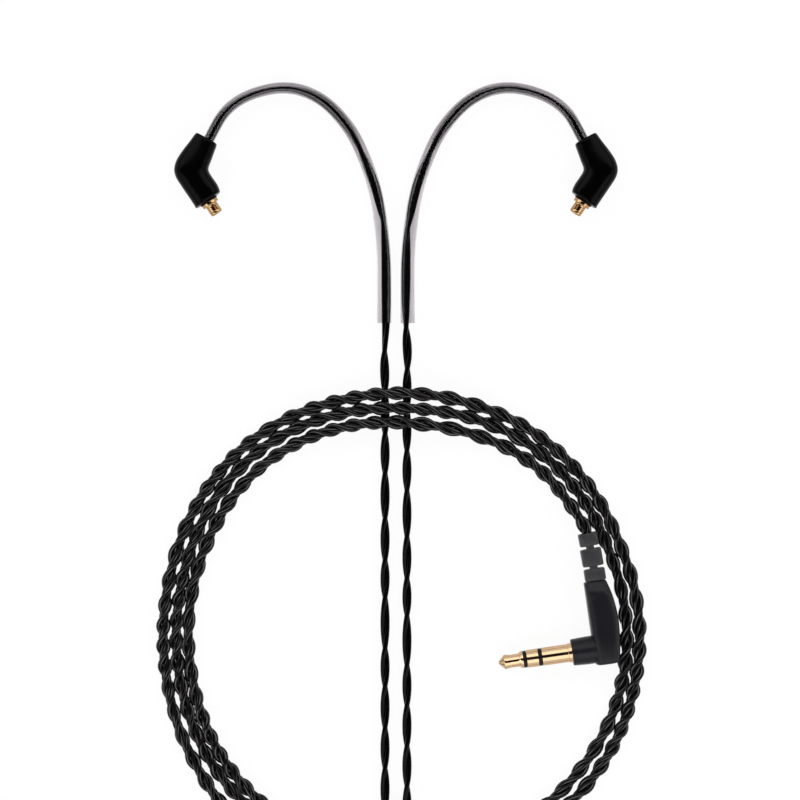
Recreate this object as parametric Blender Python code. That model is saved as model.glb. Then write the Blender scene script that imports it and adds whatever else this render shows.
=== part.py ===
"""Detachable cable for in-ear monitors, laid flat with its main cable wound into an open coil.

Two moulded elbow connectors with push-on coaxial plugs, two clear ear-hook tubes, two
twisted legs, a chin slider, a split, a four-core main cable and a right-angle stereo plug.
+Z is up, the table is z = 0, and the origin lies midway between the two ear hooks.
Sizes and points below are in millimetres; MM turns them into metres as each part is made.
"""
import math

import bmesh
import bpy
from mathutils import Vector

MM = 0.001
UP = Vector((0, 0, 1))
ALONG_X = Vector((1, 0, 0))

# Cords
LEG_DIAMETER = 1.7
MAIN_DIAMETER = 2.4
LEG_OFFSET = 2.13
LEG_HEIGHT = 1.3
TABLE_GAP = 0.05
BORE_CLEARANCE = 0.12
CORD_INSERT = 0.4

# Ear hooks, a tube that widens from its crown to its lower end
HOOK_DIAMETER = 2.2
HOOK_END_DIAMETER = 2.65
HOOK_FLARE_START = 0.25
HOOK_WALL = 0.16
HOOK_SPANS = 13
HOOK_POINTS = 26
LEG_POINTS = 32

# Elbow connector housings
HOUSING_HEIGHT = 2.9
HOUSING_ROUNDNESS = 2.5
HOUSING_EDGE = 0.35
FACE_EDGE = 0.5
HOOK_BORE_DEPTH = 2.5
NECK_RADIUS = 2.0
NECK_LENGTH = 0.6

# Push-on coaxial plugs, measured along their axis from the housing's end face
CONNECTOR_POINT = (-36.52, 0.45)
CONNECTOR_HEADING = -55.5
STEM_RADIUS = 1.14
STEM_LENGTH = 0.9
FLANGE_RADIUS = 1.62
FLANGE_BACK = 0.66
FLANGE_FRONT = 1.22
BARREL_RADIUS = 1.18
BARREL_BORE = 0.82
BARREL_END = 3.3
GROOVE_RADIUS = 0.96
GROOVE_START = 1.62
GROOVE_END = 2.72
COAX_GAP = 0.06
COAX_EDGE = 0.1
PIN_RADIUS = 0.24
PIN_END = 3.0
RING_PROUD = 0.06
RING_GAP_ANGLE = 52.0
RING_GAP_SIDE = 25.0

# Right-angle plug, measured along the jack from its tip and up its body from the jack
PLUG_TIP = (19.90, -89.36)
PLUG_TILT = 8.1
PLUG_HEIGHT = 3.25
JACK_RADIUS = 1.75
JACK_LENGTH = 14.0
JACK_GAP = 0.05
TIP_END = 5.0
RING_START = 5.63
RING_END = 7.85
SLEEVE_START = 8.53
FLANGE_PROUD = 0.12
SLEEVE_STEM_RADIUS = 2.05
COLLAR_BORE = 2.15
COLLAR_RADIUS = 2.72
COLLAR_DEPTH = 3.6
BODY_AXIS = 20.85
BODY_ROUNDNESS = 3.2
RELIEF_SOCKET = 1.45
RELIEF_SOCKET_END = 10.7
RELIEF_END = 22.5
RELIEF_EDGE = 0.25
RELIEF_ROUNDNESS = 3.4
CABLE_SOCKET_DEPTH = 1.5

# Main coil, angles counted in degrees from the +X side of its centre
COIL_CENTRE = (1.03, -83.28)
COIL_INNER_RADIUS = 40.9
COIL_PITCH = 2.8
COIL_GROW_START = 190.0
COIL_GROW_SPAN = 130.0
COIL_FIRST_ANGLE = 46.0
COIL_LAST_ANGLE = 958.0
COIL_STEP = 12.0
COIL_EXIT_SHIFT = 1.7
CROSSING_ANGLES = (91.3, 268.7)
CROSSING_RISE = 2.3
CROSSING_FLAT = 9.0
CROSSING_RAMP = 27.0
LEAD_RAMP_START = 28.0
LEAD_RAMP_END = 60.0

# How far the hand-wound coil strays outwards from a true circle, by angle
COIL_SWAY = (
    (0.0, 0.35), (20.0, -0.05), (50.0, 0.35), (84.0, -0.35), (130.0, 1.00), (178.0, 0.10),
    (222.0, 1.05), (270.0, 0.70), (318.0, 0.30), (360.0, 0.35),
)

# Split, chin slider and the coil of spare leg length
SPLIT_ANGLE = 965.0
SPLIT_APPROACH = 30.0
SPLIT_LENGTH = 12.0
SPLIT_RADIUS = 2.6
SPLIT_GROOVE = 0.2
SPLIT_BORE_DEPTH = 3.0
SPLIT_LEG_OFFSET = 1.1
SLIDER_TOP = -116.7
SLIDER_LENGTH = 6.4
SLIDER_HALF_WIDTH = 3.95
SLIDER_HALF_HEIGHT = 1.3
SLIDER_EDGE = 0.5
SLIDER_ROUNDNESS = 2.8
SPARE_CENTRE = (9.6, -148.9)
SPARE_INNER_RADIUS = 7.75
SPARE_OUTER_RADIUS = 11.45
SPARE_HEIGHT = 5.5

# Facets round a part, and points read between two route points
ROUND_SIDES = 24
SAMPLES = 16

# Left leg from inside its housing, over the ear and down; the right leg mirrors it
LEFT_LEG_ROUTE = (
    (-37.16, 10.24, 2.90),
    (-36.12, 12.35, 2.90),
    (-33.50, 17.50, 2.80),
    (-29.71, 20.60, 2.60),
    (-23.50, 22.25, 2.30),
    (-18.64, 22.06, 2.10),
    (-13.79, 19.63, 1.90),
    (-9.03, 14.39, 1.70),
    (-5.92, 8.17, 1.60),
    (-3.79, 1.96, 1.50),
    (-2.82, -4.25, 1.45),
    (-2.43, -10.47, 1.42),
    (-2.35, -16.68, 1.42),
    (-2.35, -23.48, 1.42),
    (-2.30, -28.00, 1.36),
    (-2.17, -34.00, 1.30),
    (-2.13, -40.00, 1.30),
    (-2.13, -60.00, 1.30),
    (-2.13, -80.00, 1.30),
    (-2.13, -100.00, 1.30),
    (-2.13, -124.50, 1.30),
    (-2.13, -127.50, 1.30),
)

# From there each leg runs to the coil of spare length, and from that coil to the split
LEG_ENDS = {
    "left": ((-1.90, -133.00, 1.05), (-1.25, -138.50, 0.92), (-0.97, -142.40, 0.90)),
    "right": ((1.95, -132.00, 1.10), (1.35, -136.00, 0.95), (1.05, -139.90, 0.90)),
}
TAIL_ROUTES = {
    "left": ((5.13, -137.40, 4.00), (1.60, -136.50, 3.30), (-2.50, -135.30, 2.90)),
    "right": ((2.54, -138.82, 3.45), (-1.20, -137.90, 2.95), (-5.20, -136.70, 2.60)),
}

# Left housing: outer edge, inner edge and thickness at each station
HOUSING_STATIONS = (
    ((-38.72, 13.44), (-34.64, 11.15), 4.7),
    ((-40.00, 11.67), (-35.24, 9.53), 5.0),
    ((-41.38, 9.88), (-35.83, 7.88), 5.4),
    ((-42.56, 7.98), (-36.27, 6.76), 5.7),
    ((-42.99, 6.23), (-36.33, 6.23), 5.8),
    ((-42.68, 4.78), (-36.14, 5.65), 5.8),
    ((-41.55, 2.93), (-35.46, 4.58), 5.7),
    ((-40.10, 0.80), (-34.66, 3.42), 5.6),
    ((-38.98, -0.89), (-34.20, 2.44), 5.4),
)

# Plug body: place up the body, jack-side edge, far edge and half thickness
BODY_STATIONS = (
    (-3.05, 19.35, 22.75, 2.35),
    (-2.75, 18.95, 23.20, 2.80),
    (-1.00, 18.85, 23.60, 3.05),
    (2.10, 18.85, 24.00, 3.20),
    (5.85, 18.85, 24.15, 3.10),
    (9.20, 18.85, 23.80, 2.75),
    (11.60, 18.85, 23.25, 2.40),
    (12.85, 18.85, 22.85, 2.15),
    (13.10, 19.05, 22.65, 1.98),
)

# Strain relief: start, end and the two half widths of its spigot, blocks and webs
RELIEF_PARTS = (
    (11.00, 13.20, 1.35, 1.35),
    (13.20, 15.50, 2.05, 2.00),
    (15.50, 16.05, 0.78, 1.70),
    (16.05, 19.40, 2.05, 2.00),
    (19.40, 20.00, 0.72, 1.70),
    (20.00, 22.50, 1.88, 1.90),
)
RELIEF_BLOCK_WIDTH = 1.5


def clear_scene():
    """Take every object out of the scene."""
    for item in list(bpy.data.objects):
        bpy.data.objects.remove(item, do_unlink=True)


def make_material(name, colour, roughness, metallic=0.0, transmission=0.0):
    """Give a finish its colour, roughness and metallic value."""
    material = bpy.data.materials.new(name)
    material.use_nodes = True
    shader = material.node_tree.nodes["Principled BSDF"]
    shader.inputs["Base Color"].default_value = (*colour, 1.0)
    shader.inputs["Roughness"].default_value = roughness
    shader.inputs["Metallic"].default_value = metallic
    shader.inputs["Transmission Weight"].default_value = transmission
    return material


def add_mesh_object(name, bm, material, parent=None):
    """Turn the faces outwards, scale to metres and put the part in the scene."""
    bmesh.ops.remove_doubles(bm, verts=bm.verts, dist=1e-4)
    bmesh.ops.recalc_face_normals(bm, faces=bm.faces)
    if bm.calc_volume(signed=True) < 0:
        bmesh.ops.reverse_faces(bm, faces=bm.faces)
    bmesh.ops.scale(bm, vec=(MM, MM, MM), verts=bm.verts)
    mesh = bpy.data.meshes.new(name)
    bm.to_mesh(mesh)
    bm.free()
    mesh.shade_smooth()
    mesh.set_sharp_from_angle(angle=math.radians(32))
    mesh.materials.append(material)
    item = bpy.data.objects.new(name, mesh)
    item.parent = parent
    bpy.context.collection.objects.link(item)
    return item


def add_frame(name, place, axis):
    """Add an empty at a place, with its X axis along a level direction."""
    frame = bpy.data.objects.new(name, None)
    frame.location = place * MM
    frame.rotation_euler = (0.0, 0.0, math.atan2(axis.y, axis.x))
    frame.empty_display_size = 4 * MM
    bpy.context.collection.objects.link(frame)
    return frame


def section_ring(centre, across, half_width, half_height, roundness=2.0):
    """Points of a rounded section that stands upright across a part's axis."""
    ring = []
    for index in range(ROUND_SIDES):
        angle = math.tau * index / ROUND_SIDES
        wide = math.copysign(abs(math.cos(angle)) ** (2.0 / roundness), math.cos(angle))
        tall = math.copysign(abs(math.sin(angle)) ** (2.0 / roundness), math.sin(angle))
        ring.append(centre + across * (half_width * wide) + UP * (half_height * tall))
    return ring


def loft(rings):
    """Skin a run of rings of equal count and fill the two ends."""
    bm = bmesh.new()
    loops = [[bm.verts.new(point) for point in ring] for ring in rings]
    count = len(rings[0])
    for first, second in zip(loops, loops[1:]):
        for here in range(count):
            after = (here + 1) % count
            bm.faces.new((first[here], first[after], second[after], second[here]))
    bm.faces.new(loops[0])
    bm.faces.new(loops[-1])
    return bm


def turned(profile):
    """Spin (place along X, radius) points round X; a profile off the axis is closed."""
    bm = bmesh.new()
    verts = [bm.verts.new((place, radius, 0.0)) for place, radius in profile]
    pairs = list(zip(verts, verts[1:]))
    if profile[0][1] > 0.0:
        pairs.append((verts[-1], verts[0]))
    edges = [bm.edges.new(pair) for pair in pairs]
    bmesh.ops.spin(bm, geom=verts + edges, axis=ALONG_X, cent=(0, 0, 0), dvec=(0, 0, 0),
                   angle=math.tau, steps=ROUND_SIDES, use_merge=True)
    return bm


def stepped_sleeve(start, step, end, bore, tube, head):
    """Profile of an insulator or contact: a short wide head on a long thin tube."""
    return ((start, bore), (start, head[0]), (step, head[1]), (step, tube), (end, tube), (end, bore))


def add_guide(name, bm, parent=None):
    """Add a solid that only cuts or joins another part."""
    guide = add_mesh_object(name, bm, bpy.data.materials["guide"], parent)
    guide.hide_render = True
    guide.display_type = "WIRE"
    return guide


def combine(item, guide, operation):
    """Join a guide solid to a part, or cut it out of the part."""
    modifier = item.modifiers.new(guide.name, "BOOLEAN")
    modifier.operation = operation
    modifier.solver = "EXACT"
    modifier.object = guide


def smooth_route(points):
    """Dense points on a smooth curve through the route's own points."""
    padded = [points[0] * 2 - points[1], *points, points[-1] * 2 - points[-2]]
    dense = []
    for before, start, end, after in zip(padded, padded[1:], padded[2:], padded[3:]):
        for index in range(SAMPLES):
            dense.append(knot_blend(before, start, end, after, index / SAMPLES))
    dense.append(points[-1])
    return dense


def knot_blend(before, start, end, after, share):
    """Centripetal curve between two route points, led by their outer neighbours."""
    knots = [0.0]
    for one, two in ((before, start), (start, end), (end, after)):
        knots.append(knots[-1] + (two - one).length ** 0.5)
    place = knots[1] + (knots[2] - knots[1]) * share

    def mix(one, two, low, high):
        return one + (two - one) * ((place - low) / (high - low))

    first = mix(before, start, knots[0], knots[1])
    middle = mix(start, end, knots[1], knots[2])
    last = mix(end, after, knots[2], knots[3])
    early = mix(first, middle, knots[0], knots[2])
    late = mix(middle, last, knots[1], knots[3])
    return mix(early, late, knots[1], knots[2])


def respace(dense, count):
    """Read a number of evenly spaced points from a dense line."""
    reach = [0.0]
    for one, two in zip(dense, dense[1:]):
        reach.append(reach[-1] + (two - one).length)
    spaced = []
    index = 0
    for step in range(count):
        goal = reach[-1] * step / (count - 1)
        while index < len(reach) - 2 and reach[index + 1] < goal:
            index += 1
        share = (goal - reach[index]) / (reach[index + 1] - reach[index])
        spaced.append(dense[index].lerp(dense[index + 1], share))
    return spaced


def add_cord(name, points, diameter, material, sides=2):
    """Add a round cord along its points."""
    curve = bpy.data.curves.new(name, "CURVE")
    curve.dimensions = "3D"
    curve.bevel_depth = diameter / 2 * MM
    curve.bevel_resolution = sides
    curve.use_fill_caps = True
    spline = curve.splines.new("POLY")
    spline.points.add(len(points) - 1)
    for knot, point in zip(spline.points, points):
        knot.co = (*(point * MM), 1.0)
    curve.materials.append(material)
    item = bpy.data.objects.new(name, curve)
    bpy.context.collection.objects.link(item)
    return item


def add_hook(name, points, material):
    """Add the clear ear-hook tube, open at both ends and wider at its lower end."""
    item = add_cord(name, points, HOOK_DIAMETER, material, sides=3)
    item.data.use_fill_caps = False
    for index, knot in enumerate(item.data.splines[0].points):
        share = index / (len(points) - 1)
        flare = max(0.0, share - HOOK_FLARE_START) / (1.0 - HOOK_FLARE_START)
        knot.radius = 1.0 + flare * (HOOK_END_DIAMETER / HOOK_DIAMETER - 1.0)
    shell = item.modifiers.new("wall", "SOLIDIFY")
    shell.thickness = HOOK_WALL * MM
    shell.offset = -1.0


def route(points, mirror=1.0):
    """Route points as vectors, with the right side mirrored from the left."""
    return [Vector((x * mirror, y, z)) for x, y, z in points]


def smoothstep(value):
    """Ease from 0 to 1."""
    value = min(max(value, 0.0), 1.0)
    return value * value * (3 - 2 * value)


def coil_sway(local):
    """Outward stray of the coil at an angle within a turn."""
    for (low, before), (high, after) in zip(COIL_SWAY, COIL_SWAY[1:]):
        if local <= high:
            return before + (after - before) * smoothstep((local - low) / (high - low))
    return COIL_SWAY[-1][1]


def coil_radius(angle):
    """Radius of the main coil, which grows turn by turn along its lower side."""
    turns, local = divmod(angle, 360.0)
    growth = turns + smoothstep((local - COIL_GROW_START) / COIL_GROW_SPAN)
    leave = smoothstep((angle - SPLIT_ANGLE + SPLIT_APPROACH) / SPLIT_APPROACH)
    return COIL_INNER_RADIUS + COIL_PITCH * growth + coil_sway(local) + COIL_EXIT_SHIFT * leave


def coil_height(angle):
    """Height of the main coil, with a long low hump wherever it crosses the two legs."""
    base = MAIN_DIAMETER / 2 + TABLE_GAP
    rise = 0.0
    for crossing in CROSSING_ANGLES:
        away = (abs(angle % 360.0 - crossing) - CROSSING_FLAT) / CROSSING_RAMP
        rise += CROSSING_RISE * (1.0 - smoothstep(away))
    if angle > SPLIT_ANGLE - SPLIT_APPROACH:
        climb = smoothstep((angle - SPLIT_ANGLE + SPLIT_APPROACH) / SPLIT_APPROACH)
        rise = (SPLIT_RADIUS + TABLE_GAP - base) * climb
    lead_turn = (angle - LEAD_RAMP_START) / (LEAD_RAMP_END - LEAD_RAMP_START)
    lead = (PLUG_HEIGHT - base) * (1.0 - smoothstep(lead_turn))
    return base + max(rise, lead)


def coil_point(angle):
    """Point on the main cable's axis at a winding angle."""
    turn = math.radians(angle)
    radius = coil_radius(angle)
    centre = Vector((*COIL_CENTRE, coil_height(angle)))
    return centre + Vector((math.cos(turn), math.sin(turn), 0.0)) * radius


def split_axis():
    """Coil end of the split and the level direction from there towards the legs."""
    start = coil_point(SPLIT_ANGLE)
    heading = start - coil_point(SPLIT_ANGLE - 1.0)
    heading.z = 0.0
    return start, heading.normalized()


def plug_axes():
    """Tip of the jack, the direction along the jack and the direction up the plug's body."""
    tilt = math.radians(PLUG_TILT)
    along = Vector((math.cos(tilt), math.sin(tilt), 0.0))
    return Vector((*PLUG_TIP, PLUG_HEIGHT)), along, UP.cross(along)


def connector_axis(mirror):
    """Middle of a housing's end face and the direction its coaxial plug points."""
    heading = math.radians(CONNECTOR_HEADING)
    end = Vector((CONNECTOR_POINT[0] * mirror, CONNECTOR_POINT[1], HOUSING_HEIGHT))
    return end, Vector((math.cos(heading) * mirror, math.sin(heading), 0.0))


def housing_sections(mirror):
    """Middle, sideways direction and half sizes of the elbow at each station."""
    sections = []
    for outer, inner, thickness in HOUSING_STATIONS:
        outside = Vector((outer[0] * mirror, outer[1], HOUSING_HEIGHT))
        inside = Vector((inner[0] * mirror, inner[1], HOUSING_HEIGHT))
        span = inside - outside
        sections.append(((outside + inside) / 2, span.normalized(), span.length / 2, thickness / 2))
    return sections


def build_housing(side, mirror, material):
    """Moulded elbow with a socket for the ear hook and a necked socket for the coaxial plug."""
    sections = housing_sections(mirror)
    top, across, half_width, half_height = sections[0]
    down = (sections[1][0] - top).normalized()
    inside, mouth = route(LEFT_LEG_ROUTE[:2], mirror)
    hook_axis = (mouth - inside).normalized()
    mouth = mouth - hook_axis * ((mouth - top).dot(down) / hook_axis.dot(down))
    bore = HOOK_DIAMETER / 2 + BORE_CLEARANCE
    hook_across = hook_axis.cross(UP) * mirror

    rings = [section_ring(mouth - hook_axis * depth, hook_across, bore, bore)
             for depth in (HOOK_BORE_DEPTH, 0.0)]
    rings.append(section_ring(top, across, half_width - HOUSING_EDGE, half_height - HOUSING_EDGE,
                              HOUSING_ROUNDNESS))
    rings.append(section_ring(top + down * HOUSING_EDGE, across, half_width, half_height,
                              HOUSING_ROUNDNESS))
    for middle, across, half_width, half_height in sections[1:]:
        rings.append(section_ring(middle, across, half_width, half_height, HOUSING_ROUNDNESS))

    end, axis = connector_axis(mirror)
    across = UP.cross(axis) * mirror
    rings.append(section_ring(end, across, half_width - FACE_EDGE, half_height - FACE_EDGE,
                              HOUSING_ROUNDNESS))
    stem_bore = STEM_RADIUS + BORE_CLEARANCE
    for along, radius in ((0.0, NECK_RADIUS), (NECK_LENGTH, NECK_RADIUS), (NECK_LENGTH, stem_bore),
                          (-STEM_LENGTH - 2 * BORE_CLEARANCE, stem_bore)):
        rings.append(section_ring(end + axis * along, across, radius, radius))
    add_mesh_object(side + "_connector_housing", loft(rings), material)


def build_coaxial_plug(side, mirror, gold, white):
    """Push-on coaxial plug: flanged shell, split snap ring, insulator and centre pin."""
    end, axis = connector_axis(mirror)
    frame = add_frame(side + "_connector_frame", end, axis)
    edge = COAX_EDGE
    shell = ((-STEM_LENGTH, STEM_RADIUS), (FLANGE_BACK, STEM_RADIUS),
             (FLANGE_BACK, FLANGE_RADIUS - edge), (FLANGE_BACK + edge, FLANGE_RADIUS),
             (FLANGE_FRONT - edge, FLANGE_RADIUS), (FLANGE_FRONT, FLANGE_RADIUS - edge),
             (FLANGE_FRONT, BARREL_RADIUS + 1.4 * edge), (FLANGE_FRONT + 1.4 * edge, BARREL_RADIUS),
             (GROOVE_START, BARREL_RADIUS), (GROOVE_START, GROOVE_RADIUS),
             (GROOVE_END, GROOVE_RADIUS), (GROOVE_END, BARREL_RADIUS),
             (BARREL_END - 1.6 * edge, BARREL_RADIUS), (BARREL_END, BARREL_RADIUS - 1.6 * edge),
             (BARREL_END, BARREL_BORE + edge), (BARREL_END - edge, BARREL_BORE),
             (-STEM_LENGTH, BARREL_BORE))
    add_mesh_object(side + "_coax_shell", turned(shell), gold, frame)

    core = PIN_RADIUS + COAX_GAP
    outside = BARREL_BORE - COAX_GAP
    insulator = ((-STEM_LENGTH, core), (-STEM_LENGTH, outside), (BARREL_END - 1.0, outside),
                 (BARREL_END - 1.0, core))
    add_mesh_object(side + "_coax_insulator", turned(insulator), white, frame)
    pin = ((-STEM_LENGTH, 0.0), (-STEM_LENGTH, PIN_RADIUS), (PIN_END - PIN_RADIUS, PIN_RADIUS),
           (PIN_END - COAX_GAP, PIN_RADIUS * 0.6), (PIN_END, 0.0))
    add_mesh_object(side + "_coax_pin", turned(pin), gold, frame)

    near = GROOVE_START + COAX_GAP
    far = GROOVE_END - COAX_GAP
    proud = BARREL_RADIUS + RING_PROUD
    bottom = GROOVE_RADIUS + COAX_GAP
    corners = ((near, bottom), (near, BARREL_RADIUS), (near + edge, proud), (far - edge, proud),
               (far, BARREL_RADIUS), (far, bottom))
    gap = math.radians(RING_GAP_ANGLE)
    first = math.radians(90.0 + mirror * RING_GAP_SIDE) + gap / 2
    rings = []
    for index in range(ROUND_SIDES):
        angle = first + (math.tau - gap) * index / (ROUND_SIDES - 1)
        rings.append([Vector((place, radius * math.cos(angle), radius * math.sin(angle)))
                      for place, radius in corners])
    add_mesh_object(side + "_snap_ring", loft(rings), gold, frame)


def build_ear_side(side, mirror, finishes):
    """One ear's connector, clear hook tube and leg cord."""
    build_housing(side, mirror, finishes["black_gloss"])
    build_coaxial_plug(side, mirror, finishes["gold"], finishes["white"])
    dense = smooth_route(route(LEFT_LEG_ROUTE, mirror) + route(LEG_ENDS[side]))
    hook_end = HOOK_SPANS * SAMPLES
    hook = respace(dense[:hook_end + 1], HOOK_POINTS)
    rest = respace(dense[hook_end:], LEG_POINTS)
    add_hook(side + "_ear_hook", hook, finishes["clear"])
    add_cord(side + "_leg", hook + rest[1:], LEG_DIAMETER, finishes["wire"])


def build_jack(frame, gold, black):
    """Three-pole jack: each contact's tube runs back inside the next one's insulator."""
    tip_rod = 0.50
    tip = ((0.0, 0.0), (0.10, 0.35), (1.05, 1.42), (1.40, 1.40), (2.20, 1.28), (3.80, 1.28),
           (4.15, 1.42), (4.55, 1.64), (TIP_END, 1.67), (TIP_END, tip_rod),
           (JACK_LENGTH + 3.2, tip_rod), (JACK_LENGTH + 3.2, 0.0))
    add_mesh_object("plug_tip", turned(tip), gold, frame)
    front = stepped_sleeve(TIP_END + JACK_GAP, RING_START - JACK_GAP, JACK_LENGTH + 2.4,
                           bore=0.58, tube=0.82, head=(1.62, 1.66))
    add_mesh_object("plug_front_insulator", turned(front), black, frame)
    ring = stepped_sleeve(RING_START, RING_END, JACK_LENGTH + 1.6,
                          bore=0.90, tube=1.12, head=(1.70, JACK_RADIUS - 0.01))
    add_mesh_object("plug_ring", turned(ring), gold, frame)
    rear = stepped_sleeve(RING_END + JACK_GAP, SLEEVE_START - JACK_GAP, JACK_LENGTH + 0.9,
                          bore=1.19, tube=1.36, head=(1.70, 1.70))
    add_mesh_object("plug_rear_insulator", turned(rear), black, frame)
    flange = JACK_RADIUS + FLANGE_PROUD
    flange_back = JACK_LENGTH - 0.08
    sleeve = ((SLEEVE_START, 1.44), (SLEEVE_START, JACK_RADIUS - 0.01),
              (JACK_LENGTH - 0.70, JACK_RADIUS), (JACK_LENGTH - 0.66, flange),
              (flange_back, flange), (flange_back, SLEEVE_STEM_RADIUS),
              (JACK_LENGTH + 2.8, SLEEVE_STEM_RADIUS), (JACK_LENGTH + 2.8, 1.44))
    add_mesh_object("plug_sleeve", turned(sleeve), gold, frame)


def build_plug_body(frame, material):
    """Moulded right-angle body with a round collar for the jack and a socket for the relief."""
    rings = []
    for place, near, far, half_height in BODY_STATIONS:
        centre = Vector(((near + far) / 2, place, 0.0))
        rings.append(section_ring(centre, ALONG_X, (far - near) / 2, half_height, BODY_ROUNDNESS))
    for place in (BODY_STATIONS[-1][0], RELIEF_SOCKET_END):
        centre = Vector((BODY_AXIS, place, 0.0))
        rings.append(section_ring(centre, ALONG_X, RELIEF_SOCKET, RELIEF_SOCKET, RELIEF_ROUNDNESS))
    body = add_mesh_object("plug_body", loft(rings), material, frame)
    bore_end = JACK_LENGTH + COLLAR_DEPTH
    inside_body = BODY_STATIONS[2][1] + 1.0
    collar = ((bore_end, 0.0), (bore_end, COLLAR_BORE), (JACK_LENGTH, COLLAR_BORE),
              (JACK_LENGTH, COLLAR_RADIUS - 0.27), (JACK_LENGTH + 0.15, COLLAR_RADIUS - 0.14),
              (JACK_LENGTH + 3.0, COLLAR_RADIUS), (inside_body, COLLAR_RADIUS), (inside_body, 0.0))
    combine(body, add_guide("plug_collar_guide", turned(collar), frame), "UNION")


def build_strain_relief(frame, material):
    """Flexible relief: three blocks joined by thin upright webs, with a socket for the cable."""
    rings = []

    def add_ring(place, half_width, half_height, roundness=RELIEF_ROUNDNESS):
        centre = Vector((BODY_AXIS, place, 0.0))
        rings.append(section_ring(centre, ALONG_X, half_width, half_height, roundness))

    for start, end, half_width, half_height in RELIEF_PARTS:
        edge = RELIEF_EDGE if half_width > RELIEF_BLOCK_WIDTH else 0.0
        add_ring(start, half_width - edge, half_height - edge)
        if edge:
            add_ring(start + edge, half_width, half_height)
            add_ring(end - edge, half_width, half_height)
        add_ring(end, half_width - edge, half_height - edge)
    socket = MAIN_DIAMETER / 2 + BORE_CLEARANCE
    for place in (RELIEF_END, RELIEF_END - CABLE_SOCKET_DEPTH):
        add_ring(place, socket, socket, roundness=2.0)
    add_mesh_object("plug_strain_relief", loft(rings), material, frame)


def build_plug(finishes):
    """Right-angle plug at the free end of the main cable."""
    tip, along, _ = plug_axes()
    frame = add_frame("plug_frame", tip, along)
    build_jack(frame, finishes["gold"], finishes["black_satin"])
    build_plug_body(frame, finishes["black_matte"])
    build_strain_relief(frame, finishes["grey_rubber"])


def build_main_cable(material):
    """Main cable from the strain relief round the open coil to the split."""
    tip, along, up = plug_axes()
    relief = tip + along * BODY_AXIS + up * RELIEF_END
    lead = [relief - up * (CABLE_SOCKET_DEPTH - CORD_INSERT), relief + up * CORD_INSERT]
    count = round((COIL_LAST_ANGLE - COIL_FIRST_ANGLE) / COIL_STEP)
    turns = [coil_point(COIL_FIRST_ANGLE + COIL_STEP * index) for index in range(count)]
    join = smooth_route(lead + turns[:2])[SAMPLES:2 * SAMPLES + 1]
    split, heading = split_axis()
    tail = [split - heading * CORD_INSERT, split + heading * (SPLIT_BORE_DEPTH - CORD_INSERT)]
    points = lead + respace(join, 4)[1:-1] + turns + tail
    add_cord("main_cable", points, MAIN_DIAMETER, material)


def build_split(finishes):
    """Turned split that gathers the two legs into the main cable, and the legs' last stretch."""
    start, heading = split_axis()
    frame = add_frame("split_frame", start, heading)
    cable_bore = MAIN_DIAMETER / 2 + BORE_CLEARANCE
    wide = SPLIT_RADIUS
    waist = SPLIT_RADIUS - SPLIT_GROOVE
    profile = [(SPLIT_BORE_DEPTH, 0.0), (SPLIT_BORE_DEPTH, cable_bore), (0.0, cable_bore),
               (0.0, wide - 0.5), (0.5, wide)]
    for groove in (2.6, SPLIT_LENGTH - 2.6):
        profile += [(groove - 0.4, wide), (groove - 0.2, waist), (groove + 0.2, waist),
                    (groove + 0.4, wide)]
    profile += [(SPLIT_LENGTH - 0.3, wide), (SPLIT_LENGTH, wide - 0.25), (SPLIT_LENGTH, 0.0)]
    split = add_mesh_object("split_barrel", turned(profile), finishes["black_satin"], frame)

    leg_bore = LEG_DIAMETER / 2 + BORE_CLEARANCE
    bore_end = SPLIT_LENGTH - SPLIT_BORE_DEPTH - BORE_CLEARANCE
    bore = ((bore_end, 0.0), (bore_end, leg_bore), (SPLIT_LENGTH + 1.0, leg_bore),
            (SPLIT_LENGTH + 1.0, 0.0))
    for side, offset in (("left", SPLIT_LEG_OFFSET), ("right", -SPLIT_LEG_OFFSET)):
        guide = add_guide("split_" + side + "_guide", turned(bore), frame)
        guide.location.y = offset * MM
        guide.rotation_euler.x = math.radians(4.0)
        combine(split, guide, "DIFFERENCE")
        mouth = start + heading * SPLIT_LENGTH + UP.cross(heading) * offset
        ends = [mouth + heading * 3 * CORD_INSERT,
                mouth - heading * (SPLIT_BORE_DEPTH - CORD_INSERT)]
        dense = smooth_route(route(TAIL_ROUTES[side]) + ends)[:-SAMPLES]
        points = respace(dense, 6)[:-1] + ends
        add_cord(side + "_leg_tail", points, LEG_DIAMETER, finishes["wire"])


def build_chin_slider(material):
    """Oval bead with two bores that slides along both legs."""
    height = SLIDER_HALF_HEIGHT + TABLE_GAP
    rings = []
    for drop, trim in ((0.0, SLIDER_EDGE), (SLIDER_EDGE, 0.0),
                       (SLIDER_LENGTH - SLIDER_EDGE, 0.0), (SLIDER_LENGTH, SLIDER_EDGE)):
        centre = Vector((0.0, SLIDER_TOP - drop, height))
        rings.append(section_ring(centre, ALONG_X, SLIDER_HALF_WIDTH - trim,
                                  SLIDER_HALF_HEIGHT - trim * 0.4, SLIDER_ROUNDNESS))
    slider = add_mesh_object("chin_slider", loft(rings), material)
    bore = LEG_DIAMETER / 2 + BORE_CLEARANCE
    for side, offset in (("left", -LEG_OFFSET), ("right", LEG_OFFSET)):
        ends = [section_ring(Vector((offset, place, LEG_HEIGHT)), ALONG_X, bore, bore)
                for place in (SLIDER_TOP + 1.0, SLIDER_TOP - SLIDER_LENGTH - 1.0)]
        combine(slider, add_guide("slider_" + side + "_guide", loft(ends)), "DIFFERENCE")


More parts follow.
